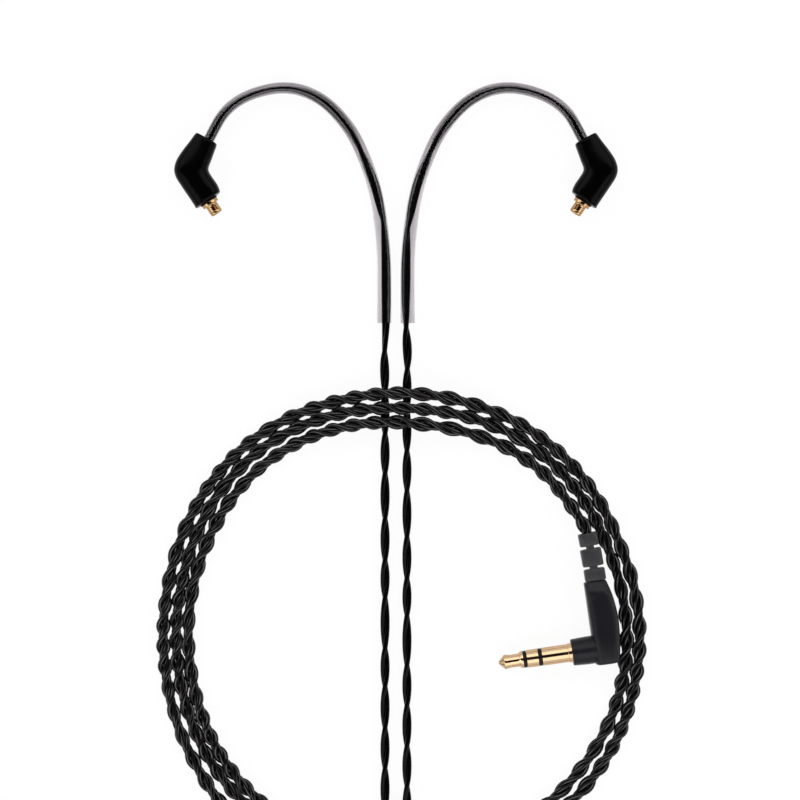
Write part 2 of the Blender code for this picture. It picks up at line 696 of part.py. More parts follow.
def build_spare_coil(material):
    """Outer shape of the neat coil that takes up the legs' spare length."""
    edge = LEG_DIAMETER / 2
    low = TABLE_GAP
    high = low + SPARE_HEIGHT
    inner = SPARE_INNER_RADIUS
    outer = SPARE_OUTER_RADIUS
    profile = ((low, inner + edge), (low + edge, inner), (high - edge, inner), (high, inner + edge),
               (high, outer - edge), (high - edge, outer), (low + edge, outer), (low, outer - edge))
    coil = add_mesh_object("leg_coil", turned(profile), material)
    coil.location = Vector((*SPARE_CENTRE, 0.0)) * MM
    coil.rotation_euler = (0.0, -math.pi / 2, 0.0)


def build_cable_set():
    """Make every finish and every part."""
    clear_scene()
    make_material("guide", (0.5, 0.5, 0.5), 0.5)
    finishes = {
        "black_gloss": make_material("housing_black", (0.006, 0.006, 0.008), 0.28),
        "black_matte": make_material("plug_black", (0.016, 0.015, 0.018), 0.5),
        "black_satin": make_material("insulator_black", (0.010, 0.009, 0.010), 0.4),
        "grey_rubber": make_material("relief_grey", (0.042, 0.042, 0.045), 0.6),
        "wire": make_material("wire_black", (0.011, 0.009, 0.009), 0.35),
        "clear": make_material("hook_clear", (0.93, 0.92, 0.95), 0.08, transmission=0.9),
        "gold": make_material("gold_plating", (0.90, 0.62, 0.27), 0.2, metallic=1.0),
        "white": make_material("insulator_white", (0.85, 0.85, 0.82), 0.5),
    }
    build_ear_side("left", 1.0, finishes)
    build_ear_side("right", -1.0, finishes)
    build_plug(finishes)
    build_main_cable(finishes["wire"])
    build_split(finishes)
    build_chin_slider(finishes["black_satin"])
    build_spare_coil(finishes["wire"])


build_cable_set()
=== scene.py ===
"""Looks of a detachable in-ear monitor cable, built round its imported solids.

Laid out as an add-on and run as a script. Sizes and points below are in millimetres, in the
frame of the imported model; a piece is scaled to metres when it is finished.
"""

import math

import bmesh
import bpy
from bpy.props import FloatProperty, FloatVectorProperty, PointerProperty
from bpy.types import Operator, Panel, PropertyGroup
from mathutils import Matrix, Vector, noise


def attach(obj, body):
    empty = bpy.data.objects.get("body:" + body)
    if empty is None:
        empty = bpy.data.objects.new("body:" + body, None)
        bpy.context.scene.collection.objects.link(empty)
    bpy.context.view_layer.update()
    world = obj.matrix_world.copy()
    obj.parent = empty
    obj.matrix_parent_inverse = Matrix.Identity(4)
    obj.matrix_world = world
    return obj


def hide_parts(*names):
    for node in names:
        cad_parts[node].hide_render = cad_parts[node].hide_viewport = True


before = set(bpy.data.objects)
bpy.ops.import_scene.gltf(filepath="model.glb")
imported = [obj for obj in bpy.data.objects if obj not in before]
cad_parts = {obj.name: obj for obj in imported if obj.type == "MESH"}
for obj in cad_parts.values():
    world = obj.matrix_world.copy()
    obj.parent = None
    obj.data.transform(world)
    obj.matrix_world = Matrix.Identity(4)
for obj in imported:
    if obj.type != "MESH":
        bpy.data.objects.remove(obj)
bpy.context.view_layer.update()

bl_info = {
    "name": "In-Ear Monitor Cable",
    "version": (1, 0, 0),
    "blender": (4, 5, 0),
    "location": "View3D > Sidebar > Ear Cable",
    "description": "Models a detachable in-ear monitor cable and the stage it lies on",
    "category": "Add Mesh",
}

MM = 0.001
UP = Vector((0, 0, 1))
ALONG_X = Vector((1, 0, 0))
SIDES = {"left": 1.0, "right": -1.0}
SAMPLES = 16

# Left leg from inside its housing, over the ear and down; the right leg mirrors it
LEFT_LEG_ROUTE = (
    (-37.16, 10.24, 2.90), (-36.12, 12.35, 2.90), (-33.22, 17.28, 2.80), (-29.51, 20.18, 2.60),
    (-23.47, 22.03, 2.30), (-18.72, 21.77, 2.10), (-13.91, 19.47, 1.90), (-9.11, 14.33, 1.70),
    (-5.98, 8.15, 1.60), (-3.96, 1.92, 1.50), (-2.89, -4.26, 1.45), (-2.33, -10.47, 1.42),
    (-2.23, -16.68, 1.42), (-2.28, -23.48, 1.42), (-2.30, -28.00, 1.36), (-2.17, -34.00, 1.30),
    (-2.13, -40.00, 1.30), (-2.13, -60.00, 1.30), (-2.13, -80.00, 1.30), (-2.13, -100.00, 1.30),
    (-2.13, -124.50, 1.30), (-2.13, -127.50, 1.30),
)
HOOK_SPANS = 13
HOOK_FLARE = ((0.0, 0.0), (0.2, 0.0), (0.5, 0.55), (1.0, 1.0))
LEG_ENDS = {
    "left": ((-1.90, -133.00, 1.05), (-1.25, -138.50, 1.00), (-0.97, -142.40, 1.15)),
    "right": ((1.95, -132.00, 1.10), (1.35, -136.00, 1.00), (1.05, -139.90, 1.10)),
}
TAIL_ROUTES = {
    "left": ((5.13, -137.40, 4.00), (1.60, -136.50, 3.30), (-2.50, -135.30, 2.90)),
    "right": ((2.54, -138.82, 3.45), (-1.20, -137.90, 2.95), (-5.20, -136.70, 2.60)),
}

LEG_LEAN = ((0.0, -0.12), (0.56, -0.06), (0.73, 0.5), (0.86, 0.5), (1.0, 0.32))
LEG_LIFT = 0.07
MAIN_LIFT = 0.06

# Half turns of a leg's two wires in the upper part of its hook, by the length from its housing,
# then the places further on where they lie one above the other
LEG_FIRST_TURNS = ((-5.0, 0.5), (4.0, 0.54), (10.0, 0.92), (23.0, 1.08))
LEG_CROSSINGS = {
    "left": (41.0, 55.5, 80.9, 88.9, 96.9, 104.6, 113.4, 121.5, 128.7, 138.6, 146.0,
             154.1, 161.9),
    "right": (41.5, 57.0, 76.3, 84.3, 92.2, 100.2, 107.9, 116.9, 125.0, 132.2, 141.9,
              149.7, 157.6, 165.4),
}

# Coil of spare leg length
SPARE_CENTRE = (9.6, -148.9)
SPARE_RADII = (10.55, 8.70)
SPARE_FIRST_ANGLE = 180.0
SPARE_LAST_ANGLE = 1160.0
SPARE_STEP = 15.0
SPARE_FLOOR = 1.2
SPARE_LAYER = 1.85
SPARE_CLIMB = {"left": 0.70, "right": 0.86}
TIE_ANGLE = -8.0
TIE_RADIUS = 9.62
TIE_HEIGHT = 3.0
TIE_HALF_DEPTH = 2.05
TIE_HALF_HEIGHT = 2.92
TIE_HALF_WIDTH = 0.62
TIE_HALF_THICK = 0.035
TIE_TWISTED = 5.0
TIE_END = 8.0

# Main coil
MAIN_HEIGHT = 1.25
COIL_CENTRE = (1.03, -83.28)
COIL_INNER_RADIUS = 40.9
COIL_PITCH = 2.8
COIL_GROW_START = 190.0
COIL_GROW_SPAN = 130.0
COIL_FIRST_ANGLE = 46.0
COIL_LAST_ANGLE = 958.0
COIL_STEP = 12.0
COIL_EXIT_SHIFT = 1.7
CROSSING_ANGLES = (91.3, 268.7)
CROSSING_RISE = 2.3
CROSSING_FLAT = 9.0
CROSSING_RAMP = 27.0
LEAD_RAMP_START = 28.0
LEAD_RAMP_END = 60.0
COIL_SWAY = (
    (0.0, 0.35), (20.0, -0.05), (50.0, 0.35), (84.0, -0.35), (130.0, 1.00), (178.0, 0.10),
    (222.0, 1.05), (270.0, 0.70), (318.0, 0.30), (360.0, 0.35),
)

COIL_TUCK = (
    (46.0, 0.0), (82.0, -0.2), (100.0, 0.0), (150.0, 0.05), (180.0, 0.4), (222.0, 0.5), (262.0, 0.25),
    (320.0, 0.0), (340.0, 0.12), (350.0, -0.05), (364.0, -0.35), (382.0, -0.4), (400.0, -0.25),
    (424.0, 0.0), (450.0, -0.12), (490.0, -0.1), (522.0, -0.25), (550.0, 0.0), (640.0, 0.0), (690.0, 0.1),
    (705.0, -0.3), (722.0, -0.55), (741.0, -0.8), (762.0, -0.6), (784.0, -0.4), (800.0, 0.0), (812.0, -0.1),
    (830.0, -0.5), (860.0, -0.5), (880.0, -0.6), (900.0, -0.35), (935.0, 0.0),
)

# Split and chin slider
SPLIT_ANGLE = 965.0
SPLIT_APPROACH = 30.0
SPLIT_LENGTH = 12.0
SPLIT_RADIUS = 2.6
SPLIT_BORE_DEPTH = 3.0
SPLIT_LEG_OFFSET = 1.1
SLIDER_TOP = -116.7
SLIDER_LENGTH = 6.4
SLIDER_HALF_WIDTH = 3.95
SLIDER_HALF_HEIGHT = 1.3
LEG_OFFSET = 2.13
LEG_HEIGHT = 1.3
BORE_CLEARANCE = 0.12
CORD_INSERT = 0.4

# Elbow housings and their coaxial plugs
HOUSING_HEIGHT = 2.9
HOUSING_STATIONS = (
    ((-38.72, 13.44), (-34.64, 11.15), 4.7), ((-40.00, 11.67), (-35.24, 9.53), 5.0),
    ((-41.38, 9.88), (-35.83, 7.88), 5.4), ((-42.56, 7.98), (-36.27, 6.76), 5.7),
    ((-42.99, 6.23), (-36.33, 6.23), 5.8), ((-42.68, 4.78), (-36.14, 5.65), 5.8),
    ((-41.55, 2.93), (-35.46, 4.58), 5.7), ((-40.10, 0.80), (-34.66, 3.42), 5.6),
    ((-38.98, -0.89), (-34.20, 2.44), 5.4),
)
CONNECTOR_POINT = (-36.52, 0.45)
CONNECTOR_HEADING = -55.5

# Right-angle plug
PLUG_TIP = (19.90, -89.36)
PLUG_TILT = 8.1
PLUG_HEIGHT = 3.25
JACK_LENGTH = 14.3
JACK_RADIUS = 1.75
BODY_AXIS = 20.85
RELIEF_START = 13.2
RELIEF_END = 22.5
RELIEF_BEND = 0.36
CABLE_SOCKET_DEPTH = 1.5
BODY_STATIONS = (
    (-3.05, 18.95, 22.75, 2.35), (-2.75, 18.55, 23.20, 2.80), (-1.00, 18.45, 23.60, 3.05),
    (2.10, 18.45, 24.00, 3.20), (5.85, 18.45, 24.15, 3.10), (9.20, 18.45, 23.80, 2.92),
    (11.00, 18.45, 23.42, 2.78), (12.20, 18.45, 23.08, 2.36), (12.90, 18.45, 22.85, 2.02),
    (13.10, 18.65, 22.65, 1.86),
)
RELIEF_PARTS = (
    (11.00, 13.20, 1.35, 1.35), (13.20, 15.50, 2.05, 2.00), (15.50, 16.05, 0.80, 1.88),
    (16.05, 19.40, 2.05, 2.00), (19.40, 20.00, 0.76, 1.80), (20.00, 22.50, 1.88, 1.90),
)


# Lines and places

def smoothstep(value):
    """Ease from 0 to 1."""
    value = min(max(value, 0.0), 1.0)
    return value * value * (3 - 2 * value)


def route(points, mirror=1.0):
    """Route points as vectors, with the right side mirrored from the left."""
    return [Vector((x * mirror, y, z)) for x, y, z in points]


def knot_blend(before, start, end, after, share):
    """Centripetal curve between two route points, led by their outer neighbours."""
    knots = [0.0]
    for one, two in ((before, start), (start, end), (end, after)):
        knots.append(knots[-1] + (two - one).length ** 0.5)
    place = knots[1] + (knots[2] - knots[1]) * share

    def mix(one, two, low, high):
        return one + (two - one) * ((place - low) / (high - low))

    first = mix(before, start, knots[0], knots[1])
    middle = mix(start, end, knots[1], knots[2])
    last = mix(end, after, knots[2], knots[3])
    return mix(mix(first, middle, knots[0], knots[2]), mix(middle, last, knots[1], knots[3]),
               knots[1], knots[2])


def smooth_route(points):
    """Dense points on a smooth curve through the route's own points."""
    padded = [points[0] * 2 - points[1], *points, points[-1] * 2 - points[-2]]
    dense = []
    for before, start, end, after in zip(padded, padded[1:], padded[2:], padded[3:]):
        dense += [knot_blend(before, start, end, after, index / SAMPLES) for index in range(SAMPLES)]
    return dense + [points[-1]]


def reaches(line):
    """Distance along a line to each of its points."""
    reach = [0.0]
    for one, two in zip(line, line[1:]):
        reach.append(reach[-1] + (two - one).length)
    return reach


def respace(dense, count):
    """Read a number of evenly spaced points from a dense line."""
    reach = reaches(dense)
    spaced = []
    index = 0
    for step in range(count):
        goal = reach[-1] * step / (count - 1)
        while index < len(reach) - 2 and reach[index + 1] < goal:
            index += 1
        share = (goal - reach[index]) / (reach[index + 1] - reach[index])
        spaced.append(dense[index].lerp(dense[index + 1], share))
    return spaced


def evenly(dense, spacing):
    """Points about one spacing apart on a dense line."""
    return respace(dense, round(reaches(dense)[-1] / spacing) + 1)


def read_table(table, place):
    """Value at a place in a table of (place, value) knots, eased from knot to knot."""
    for (low, before), (high, after) in zip(table, table[1:]):
        if low <= place <= high:
            return before + (after - before) * smoothstep((place - low) / (high - low))
    return 0.0


def coil_point(angle):
    """Point on the main cable's axis at a winding angle."""
    turns, local = divmod(angle, 360.0)
    sway = read_table(COIL_SWAY, local) + read_table(COIL_TUCK, angle)
    leave = smoothstep((angle - SPLIT_ANGLE + SPLIT_APPROACH) / SPLIT_APPROACH)
    growth = turns + smoothstep((local - COIL_GROW_START) / COIL_GROW_SPAN)
    radius = COIL_INNER_RADIUS + COIL_PITCH * growth + sway + COIL_EXIT_SHIFT * leave

    rise = sum(CROSSING_RISE * (1.0 - smoothstep((abs(local - place) - CROSSING_FLAT) / CROSSING_RAMP))
               for place in CROSSING_ANGLES)
    if leave > 0.0:
        rise = (SPLIT_RADIUS + 0.05 - MAIN_HEIGHT) * leave
    lead = smoothstep((angle - LEAD_RAMP_START) / (LEAD_RAMP_END - LEAD_RAMP_START))
    height = MAIN_HEIGHT + max(rise, (PLUG_HEIGHT - MAIN_HEIGHT) * (1.0 - lead))
    turn = math.radians(angle)
    return Vector((*COIL_CENTRE, height)) + Vector((math.cos(turn), math.sin(turn), 0.0)) * radius


def split_axis():
    """Coil end of the split and the level direction from there towards the legs."""
    start = coil_point(SPLIT_ANGLE)
    heading = start - coil_point(SPLIT_ANGLE - 1.0)
    heading.z = 0.0
    return start, heading.normalized()


def plug_matrix():
    """Place of the right-angle plug: X runs along the jack from its tip, Y up its body."""
    place = Matrix.Translation((*PLUG_TIP, PLUG_HEIGHT))
    return place @ Matrix.Rotation(math.radians(PLUG_TILT), 4, "Z")


def relief_axis(place):
    """Where the strain relief's axis lies across the plug: it gives way to the cable's pull."""
    return BODY_AXIS - RELIEF_BEND * max(0.0, (place - RELIEF_START) / (RELIEF_END - RELIEF_START)) ** 1.6


def connector_matrix(mirror):
    """Place of a coaxial plug: X runs outwards from the middle of the housing's end face."""
    turn = CONNECTOR_HEADING if mirror > 0 else -180.0 - CONNECTOR_HEADING
    place = Matrix.Translation((CONNECTOR_POINT[0] * mirror, CONNECTOR_POINT[1], HOUSING_HEIGHT))
    return place @ Matrix.Rotation(math.radians(turn), 4, "Z")


def spare_point(side, angle):
    """Point of a leg in the small coil: the legs swap places as they climb, so both run alike."""
    layer = 0.0
    shift = 0.0
    for turn in (0, 1):
        share = ((angle - SPARE_FIRST_ANGLE) / 360.0 - turn - SPARE_CLIMB[side]) / 0.13
        first = smoothstep(share / 0.6)
        second = smoothstep((share - 0.4) / 0.6)
        climb, cross = (first, second) if side == "left" else (second, first)
        layer += climb
        shift += cross
    start, other = SPARE_RADII if side == "left" else SPARE_RADII[::-1]
    radius = start + (other - start) * (1.0 - abs(1.0 - shift))
    turn = math.radians(angle)
    centre = Vector((*SPARE_CENTRE, SPARE_FLOOR + SPARE_LAYER * layer))
    return centre + Vector((math.cos(turn), math.sin(turn), 0.0)) * radius


def leg_line(side):
    """Axis of a leg from its housing to the split, and the length of its hooked part."""
    mirror = SIDES[side]
    count = round((SPARE_LAST_ANGLE - SPARE_FIRST_ANGLE) / SPARE_STEP)
    turns = [spare_point(side, SPARE_FIRST_ANGLE + SPARE_STEP * index) for index in range(count)]
    start, heading = split_axis()
    offset = SPLIT_LEG_OFFSET * mirror
    mouth = start + heading * SPLIT_LENGTH + UP.cross(heading) * offset
    ends = [mouth + heading * 3 * CORD_INSERT, mouth - heading * (SPLIT_BORE_DEPTH - CORD_INSERT)]
    points = route(LEFT_LEG_ROUTE, mirror) + route(LEG_ENDS[side]) + turns
    dense = smooth_route(points + route(TAIL_ROUTES[side]) + ends)
    hooked = reaches(dense[:HOOK_SPANS * SAMPLES + 1])[-1]
    return evenly(dense, 0.55), hooked


def hook_line(side):
    """Axis of a leg's clear tube."""
    dense = smooth_route(route(LEFT_LEG_ROUTE, SIDES[side]))
    return respace(dense[:HOOK_SPANS * SAMPLES + 1], 120)


def main_line():
    """Axis of the main cable from the strain relief round the coil to the split."""
    place = plug_matrix()
    lead = [place @ Vector((relief_axis(RELIEF_END + along), RELIEF_END + along, 0.0))
            for along in (CORD_INSERT - CABLE_SOCKET_DEPTH, CORD_INSERT)]
    count = round((COIL_LAST_ANGLE - COIL_FIRST_ANGLE) / COIL_STEP)
    turns = [coil_point(COIL_FIRST_ANGLE + COIL_STEP * index) for index in range(count)]
    split, heading = split_axis()
    tail = [split - heading * CORD_INSERT, split + heading * (SPLIT_BORE_DEPTH - CORD_INSERT)]
    return evenly(smooth_route(lead + turns + tail), 0.55)


# Mesh work

def close_shell(bm):
    """Merge doubles and turn every face outwards."""
    bmesh.ops.remove_doubles(bm, verts=bm.verts, dist=1e-4)
    bmesh.ops.recalc_face_normals(bm, faces=bm.faces)
    if bm.calc_volume(signed=True) < 0:
        bmesh.ops.reverse_faces(bm, faces=bm.faces)


def section(centre, across, half_width, half_height, rise=UP):
    """Matrix that stands a unit circle across a part's axis."""
    rows = zip(across * half_width, rise * half_height, across.cross(rise), centre)
    return Matrix([list(row) for row in rows] + [[0, 0, 0, 1]])


def loft(sections, sides=48):
    """Draw a circle out through (matrix, roundness) sections and close both ends."""
    bm = bmesh.new()
    ring = bmesh.ops.create_circle(bm, cap_ends=True, segments=sides, radius=1.0)["verts"]
    edges = bm.edges[:]
    before, round_before = Matrix.Identity(4), 2.0
    for index, (matrix, roundness) in enumerate(sections):
        if index:
            drawn = bmesh.ops.extrude_edge_only(bm, edges=edges)["geom"]
            ring = [part for part in drawn if isinstance(part, bmesh.types.BMVert)]
            fresh = set(ring)
            edges = [part for part in drawn if isinstance(part, bmesh.types.BMEdge)
                     and fresh.issuperset(part.verts)]
        inverse = before.inverted()
        power = round_before / roundness
        for vert in ring:
            local = inverse @ vert.co
            local.x = math.copysign(abs(local.x) ** power, local.x)
            local.y = math.copysign(abs(local.y) ** power, local.y)
            vert.co = matrix @ local
        before, round_before = matrix, roundness
    bmesh.ops.contextual_create(bm, geom=edges)
    close_shell(bm)
    return bm


def held(profile, margin=0.1):
    """A profile with extra points beside its corners, so that long faces shade straight."""
    points = [Vector(point) for point in profile]
    full = points[:1]
    for one, two in zip(points, points[1:]):
        step = two - one
        if step.length > 5 * margin:
            full += [one + step.normalized() * margin, two - step.normalized() * margin]
        full.append(two)
    return full


def turned(profile, sides=64, angle=math.tau):
    """Spin (place along X, radius) points round X; a profile off the axis is closed."""
    bm = bmesh.new()
    verts = [bm.verts.new((place, radius, 0.0)) for place, radius in held(profile)]
    pairs = list(zip(verts, verts[1:]))
    if profile[0][1] > 0.0:
        pairs.append((verts[-1], verts[0]))
    edges = [bm.edges.new(pair) for pair in pairs]
    geom = verts + edges
    if angle < math.tau:
        geom += [bm.faces.new(verts)]
    bmesh.ops.spin(bm, geom=geom, axis=ALONG_X, cent=(0, 0, 0), dvec=(0, 0, 0), angle=angle,
                   steps=sides, use_merge=angle >= math.tau)
    close_shell(bm)
    return bm


def soften(bm, width, segments=2, sharp=28.0):
    """Round every sharp edge."""
    edges = [edge for edge in bm.edges if edge.is_manifold
             and edge.calc_face_angle() > math.radians(sharp)]
    bmesh.ops.bevel(bm, geom=edges, offset=width, offset_type="OFFSET", segments=segments,
                    profile=0.5, affect="EDGES", material=-1, clamp_overlap=True)


def combine(bm, tool, operation):
    """Join a second solid to a part, or cut it out of the part."""
    items = []
    for label, source in (("base", bm), ("tool", tool)):
        close_shell(source)
        mesh = bpy.data.meshes.new(label)
        source.to_mesh(mesh)
        source.free()
        items.append(bpy.data.objects.new(label, mesh))
        bpy.context.collection.objects.link(items[-1])
    modifier = items[0].modifiers.new(operation, "BOOLEAN")
    modifier.operation = operation
    modifier.solver = "EXACT"
    modifier.object = items[1]
    result = bmesh.new()
    result.from_object(items[0], bpy.context.evaluated_depsgraph_get())
    for item in items:
        mesh = item.data
        bpy.data.objects.remove(item)
        bpy.data.meshes.remove(mesh)
    return result


def place_piece(name, mesh, material, nodes=(), slot="", body="cable"):
    """Put a finished mesh in the scene on its body, in place of its solids."""
    mesh.materials.clear()
    mesh.materials.append(material)
    piece = bpy.data.objects.new(name, mesh)
    bpy.context.collection.objects.link(piece)
    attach(piece, body)
    if nodes:
        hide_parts(*nodes)
    return piece


def finish_piece(name, bm, material, place=None, sharp=35.0, painted_shade=None, **links):
    """Note each point's place along its part and its painted shade weight, move the part home and scale it
    to metres.
    """
    close_shell(bm)
    along = bm.verts.layers.float.new("along")
    shade_amount = bm.verts.layers.float.new("painted_shade")
    for vert in bm.verts:
        vert[along] = vert.co.x
        # Painted shade: points picked by the given test get weight 1, and their finish is painted darker
        # there in place of a shadow.
        vert[shade_amount] = 1.0 if painted_shade and painted_shade(vert.co) else 0.0
    home = Matrix.Scale(MM, 4) @ (place or Matrix.Identity(4))
    bmesh.ops.transform(bm, matrix=home, verts=bm.verts)
    mesh = bpy.data.meshes.new(name)
    bm.to_mesh(mesh)
    bm.free()
    mesh.shade_smooth()
    mesh.set_sharp_from_angle(angle=math.radians(sharp))
    return place_piece(name, mesh, material, **links)


def tube_mesh(name, lines, radius, sides=3, radii=None, caps=True):
    """Mesh of round tubes along lines; the map runs once round each and in millimetres along it."""
    curve = bpy.data.curves.new(name, "CURVE")
    curve.dimensions = "3D"
    curve.bevel_depth = radius * MM
    curve.bevel_resolution = sides
    curve.use_fill_caps = caps
    for line in lines:
        spline = curve.splines.new("POLY")
        spline.points.add(len(line) - 1)
        for index, (knot, point) in enumerate(zip(spline.points, line)):
            knot.co = (*(point * MM), 1.0)
            knot.radius = radii[index] if radii else 1.0
    item = bpy.data.objects.new(name, curve)
    bpy.context.collection.objects.link(item)
    shape = item.evaluated_get(bpy.context.evaluated_depsgraph_get())
    mesh = bpy.data.meshes.new_from_object(shape)
    bpy.data.objects.remove(item)
    bpy.data.curves.remove(curve)

    bm = bmesh.new()
    bm.from_mesh(mesh)
    bmesh.ops.remove_doubles(bm, verts=bm.verts, dist=1e-7)
    if caps and bm.calc_volume(signed=True) < 0:
        bmesh.ops.reverse_faces(bm, faces=bm.faces)
    layer = bm.loops.layers.uv.active
    length = reaches(lines[0])[-1]
    for face in bm.faces:
        for loop in face.loops:
            loop[layer].uv.x *= length
    bm.to_mesh(mesh)
    bm.free()
    mesh.name = name
    mesh.shade_smooth()
    return mesh


def wires_round(line, offsets):
    """Lines of a cord's wires: offsets gives each wire's (sideways, up) at a distance along."""
    reach = reaches(line)
    wires = []
    for index, point in enumerate(line):
        ahead = line[min(index + 1, len(line) - 1)] - line[max(index - 1, 0)]
        sideways = ahead.cross(UP).normalized()
        upwards = sideways.cross(ahead).normalized()
        for wire, (across, rise) in enumerate(offsets(reach[index])):
            if index == 0:
                wires.append([])
            wires[wire].append(point + sideways * across + upwards * rise)
    return wires


# Finishes

def make_group(name, inputs, outputs):
    """Start a node group with its named sockets."""
    group = bpy.data.node_groups.new(name, "ShaderNodeTree")
    for label, kind, value in inputs:
        socket = group.interface.new_socket(label, in_out="INPUT", socket_type=kind)
        socket.default_value = value
    for label, kind in outputs:
        group.interface.new_socket(label, in_out="OUTPUT", socket_type=kind)
    return group, group.nodes.new("NodeGroupInput"), group.nodes.new("NodeGroupOutput")


def spread(group, entry, value, output):
    """Spread a 0 to 1 value between a group's Low and High inputs."""
    span = group.nodes.new("ShaderNodeMapRange")
    group.links.new(value, span.inputs["Value"])
    group.links.new(entry.outputs["Low"], span.inputs["To Min"])
    group.links.new(entry.outputs["High"], span.inputs["To Max"])
    group.links.new(span.outputs["Result"], output)


def grain_group():
    """Fine grain of moulded plastic: roughness and height that change over the surface."""
    group, entry, leave = make_group(
        "moulded_grain",
        (("Scale", "NodeSocketFloat", 4000.0), ("Low", "NodeSocketFloat", 0.3),
         ("High", "NodeSocketFloat", 0.4)),
        (("Roughness", "NodeSocketFloat"), ("Height", "NodeSocketFloat")))
    where = group.nodes.new("ShaderNodeTexCoord")
    fine = group.nodes.new("ShaderNodeTexNoise")
    fine.inputs["Detail"].default_value = 3.0
    group.links.new(where.outputs["Object"], fine.inputs["Vector"])
    group.links.new(entry.outputs["Scale"], fine.inputs["Scale"])
    spread(group, entry, fine.outputs["Fac"], leave.inputs["Roughness"])
    group.links.new(fine.outputs["Fac"], leave.inputs["Height"])
    return group


def tone_group():
    """Slow drift between two tones of one colour."""
    group, entry, leave = make_group(
        "tone_drift",
        (("First Tone", "NodeSocketColor", (0, 0, 0, 1)),
         ("Second Tone", "NodeSocketColor", (0, 0, 0, 1)), ("Scale", "NodeSocketFloat", 300.0)),
        (("Colour", "NodeSocketColor"),))
    where = group.nodes.new("ShaderNodeTexCoord")
    drift = group.nodes.new("ShaderNodeTexNoise")
    drift.inputs["Detail"].default_value = 2.0
    ease = group.nodes.new("ShaderNodeMapRange")
    ease.inputs["From Min"].default_value = 0.35
    ease.inputs["From Max"].default_value = 0.65
    blend = group.nodes.new("ShaderNodeMix")
    blend.data_type = "RGBA"
    group.links.new(where.outputs["Object"], drift.inputs["Vector"])
    group.links.new(entry.outputs["Scale"], drift.inputs["Scale"])
    group.links.new(drift.outputs["Fac"], ease.inputs["Value"])
    group.links.new(ease.outputs["Result"], blend.inputs["Factor"])
    group.links.new(entry.outputs["First Tone"], blend.inputs[6])
    group.links.new(entry.outputs["Second Tone"], blend.inputs[7])
    group.links.new(blend.outputs[2], leave.inputs["Colour"])
    return group


def lathe_group():
    """Fine lines that turning leaves round a part, read from its place along the part."""
    group, entry, leave = make_group(
        "lathe_lines",
        (("Lines", "NodeSocketFloat", 9.0), ("Low", "NodeSocketFloat", 0.1),
         ("High", "NodeSocketFloat", 0.2)),
        (("Roughness", "NodeSocketFloat"), ("Height", "NodeSocketFloat")))
    along = group.nodes.new("ShaderNodeAttribute")
    along.attribute_name = "along"
    lines = group.nodes.new("ShaderNodeTexNoise")
    lines.noise_dimensions = "1D"
    lines.inputs["Detail"].default_value = 3.0
    group.links.new(along.outputs["Fac"], lines.inputs["W"])
    group.links.new(entry.outputs["Lines"], lines.inputs["Scale"])
    spread(group, entry, lines.outputs["Fac"], leave.inputs["Roughness"])
    group.links.new(lines.outputs["Fac"], leave.inputs["Height"])
    return group


def strand_group():
    """Faint ridges of the strands under a wire's sheath, wound round it on its own map."""
    group, entry, leave = make_group(
        "strand_ridges",
        (("Strands", "NodeSocketFloat", 7.0), ("Lay", "NodeSocketFloat", 0.35),
         ("Low", "NodeSocketFloat", 0.25), ("High", "NodeSocketFloat", 0.4),
         ("Shine", "NodeSocketFloat", 1.0)),
        (("Roughness", "NodeSocketFloat"), ("Height", "NodeSocketFloat"),
         ("Crests", "NodeSocketFloat")))
    where = group.nodes.new("ShaderNodeUVMap")
    parts = group.nodes.new("ShaderNodeSeparateXYZ")
    around = group.nodes.new("ShaderNodeMath")
    around.operation = "MULTIPLY"
    along = group.nodes.new("ShaderNodeMath")
    along.operation = "MULTIPLY_ADD"
    turn = group.nodes.new("ShaderNodeMath")
    turn.operation = "MULTIPLY"
    turn.inputs[1].default_value = math.tau
    wave = group.nodes.new("ShaderNodeMath")
    wave.operation = "SINE"
    lift = group.nodes.new("ShaderNodeMath")
    lift.operation = "MULTIPLY_ADD"
    lift.inputs[1].default_value = 0.5
    lift.inputs[2].default_value = 0.5
    group.links.new(where.outputs["UV"], parts.inputs["Vector"])
    group.links.new(parts.outputs["Y"], around.inputs[0])
    group.links.new(entry.outputs["Strands"], around.inputs[1])
    group.links.new(parts.outputs["X"], along.inputs[0])
    group.links.new(entry.outputs["Lay"], along.inputs[1])
    group.links.new(around.outputs["Value"], along.inputs[2])
    group.links.new(along.outputs["Value"], turn.inputs[0])
    group.links.new(turn.outputs["Value"], wave.inputs[0])
    group.links.new(wave.outputs["Value"], lift.inputs[0])
    spread(group, entry, lift.outputs["Value"], leave.inputs["Roughness"])
    group.links.new(lift.outputs["Value"], leave.inputs["Height"])
    crest = group.nodes.new("ShaderNodeMapRange")
    crest.interpolation_type = "SMOOTHSTEP"
    crest.inputs["From Min"].default_value = 0.5
    crest.inputs["From Max"].default_value = 0.95
    group.links.new(lift.outputs["Value"], crest.inputs["Value"])
    group.links.new(entry.outputs["Shine"], crest.inputs["To Max"])
    group.links.new(crest.outputs["Result"], leave.inputs["Crests"])
    return group


GROUPS = {"tone": tone_group, "grain": grain_group, "lathe": lathe_group, "strand": strand_group}


def use_group(material, kind, values):
    """Place a shared effect in a material with its own values."""
    name = {"tone": "tone_drift", "grain": "moulded_grain", "lathe": "lathe_lines",
            "strand": "strand_ridges"}[kind]
    node = material.node_tree.nodes.new("ShaderNodeGroup")
    node.node_tree = bpy.data.node_groups.get(name) or GROUPS[kind]()
    for label, value in values.items():
        node.inputs[label].default_value = value
    return node


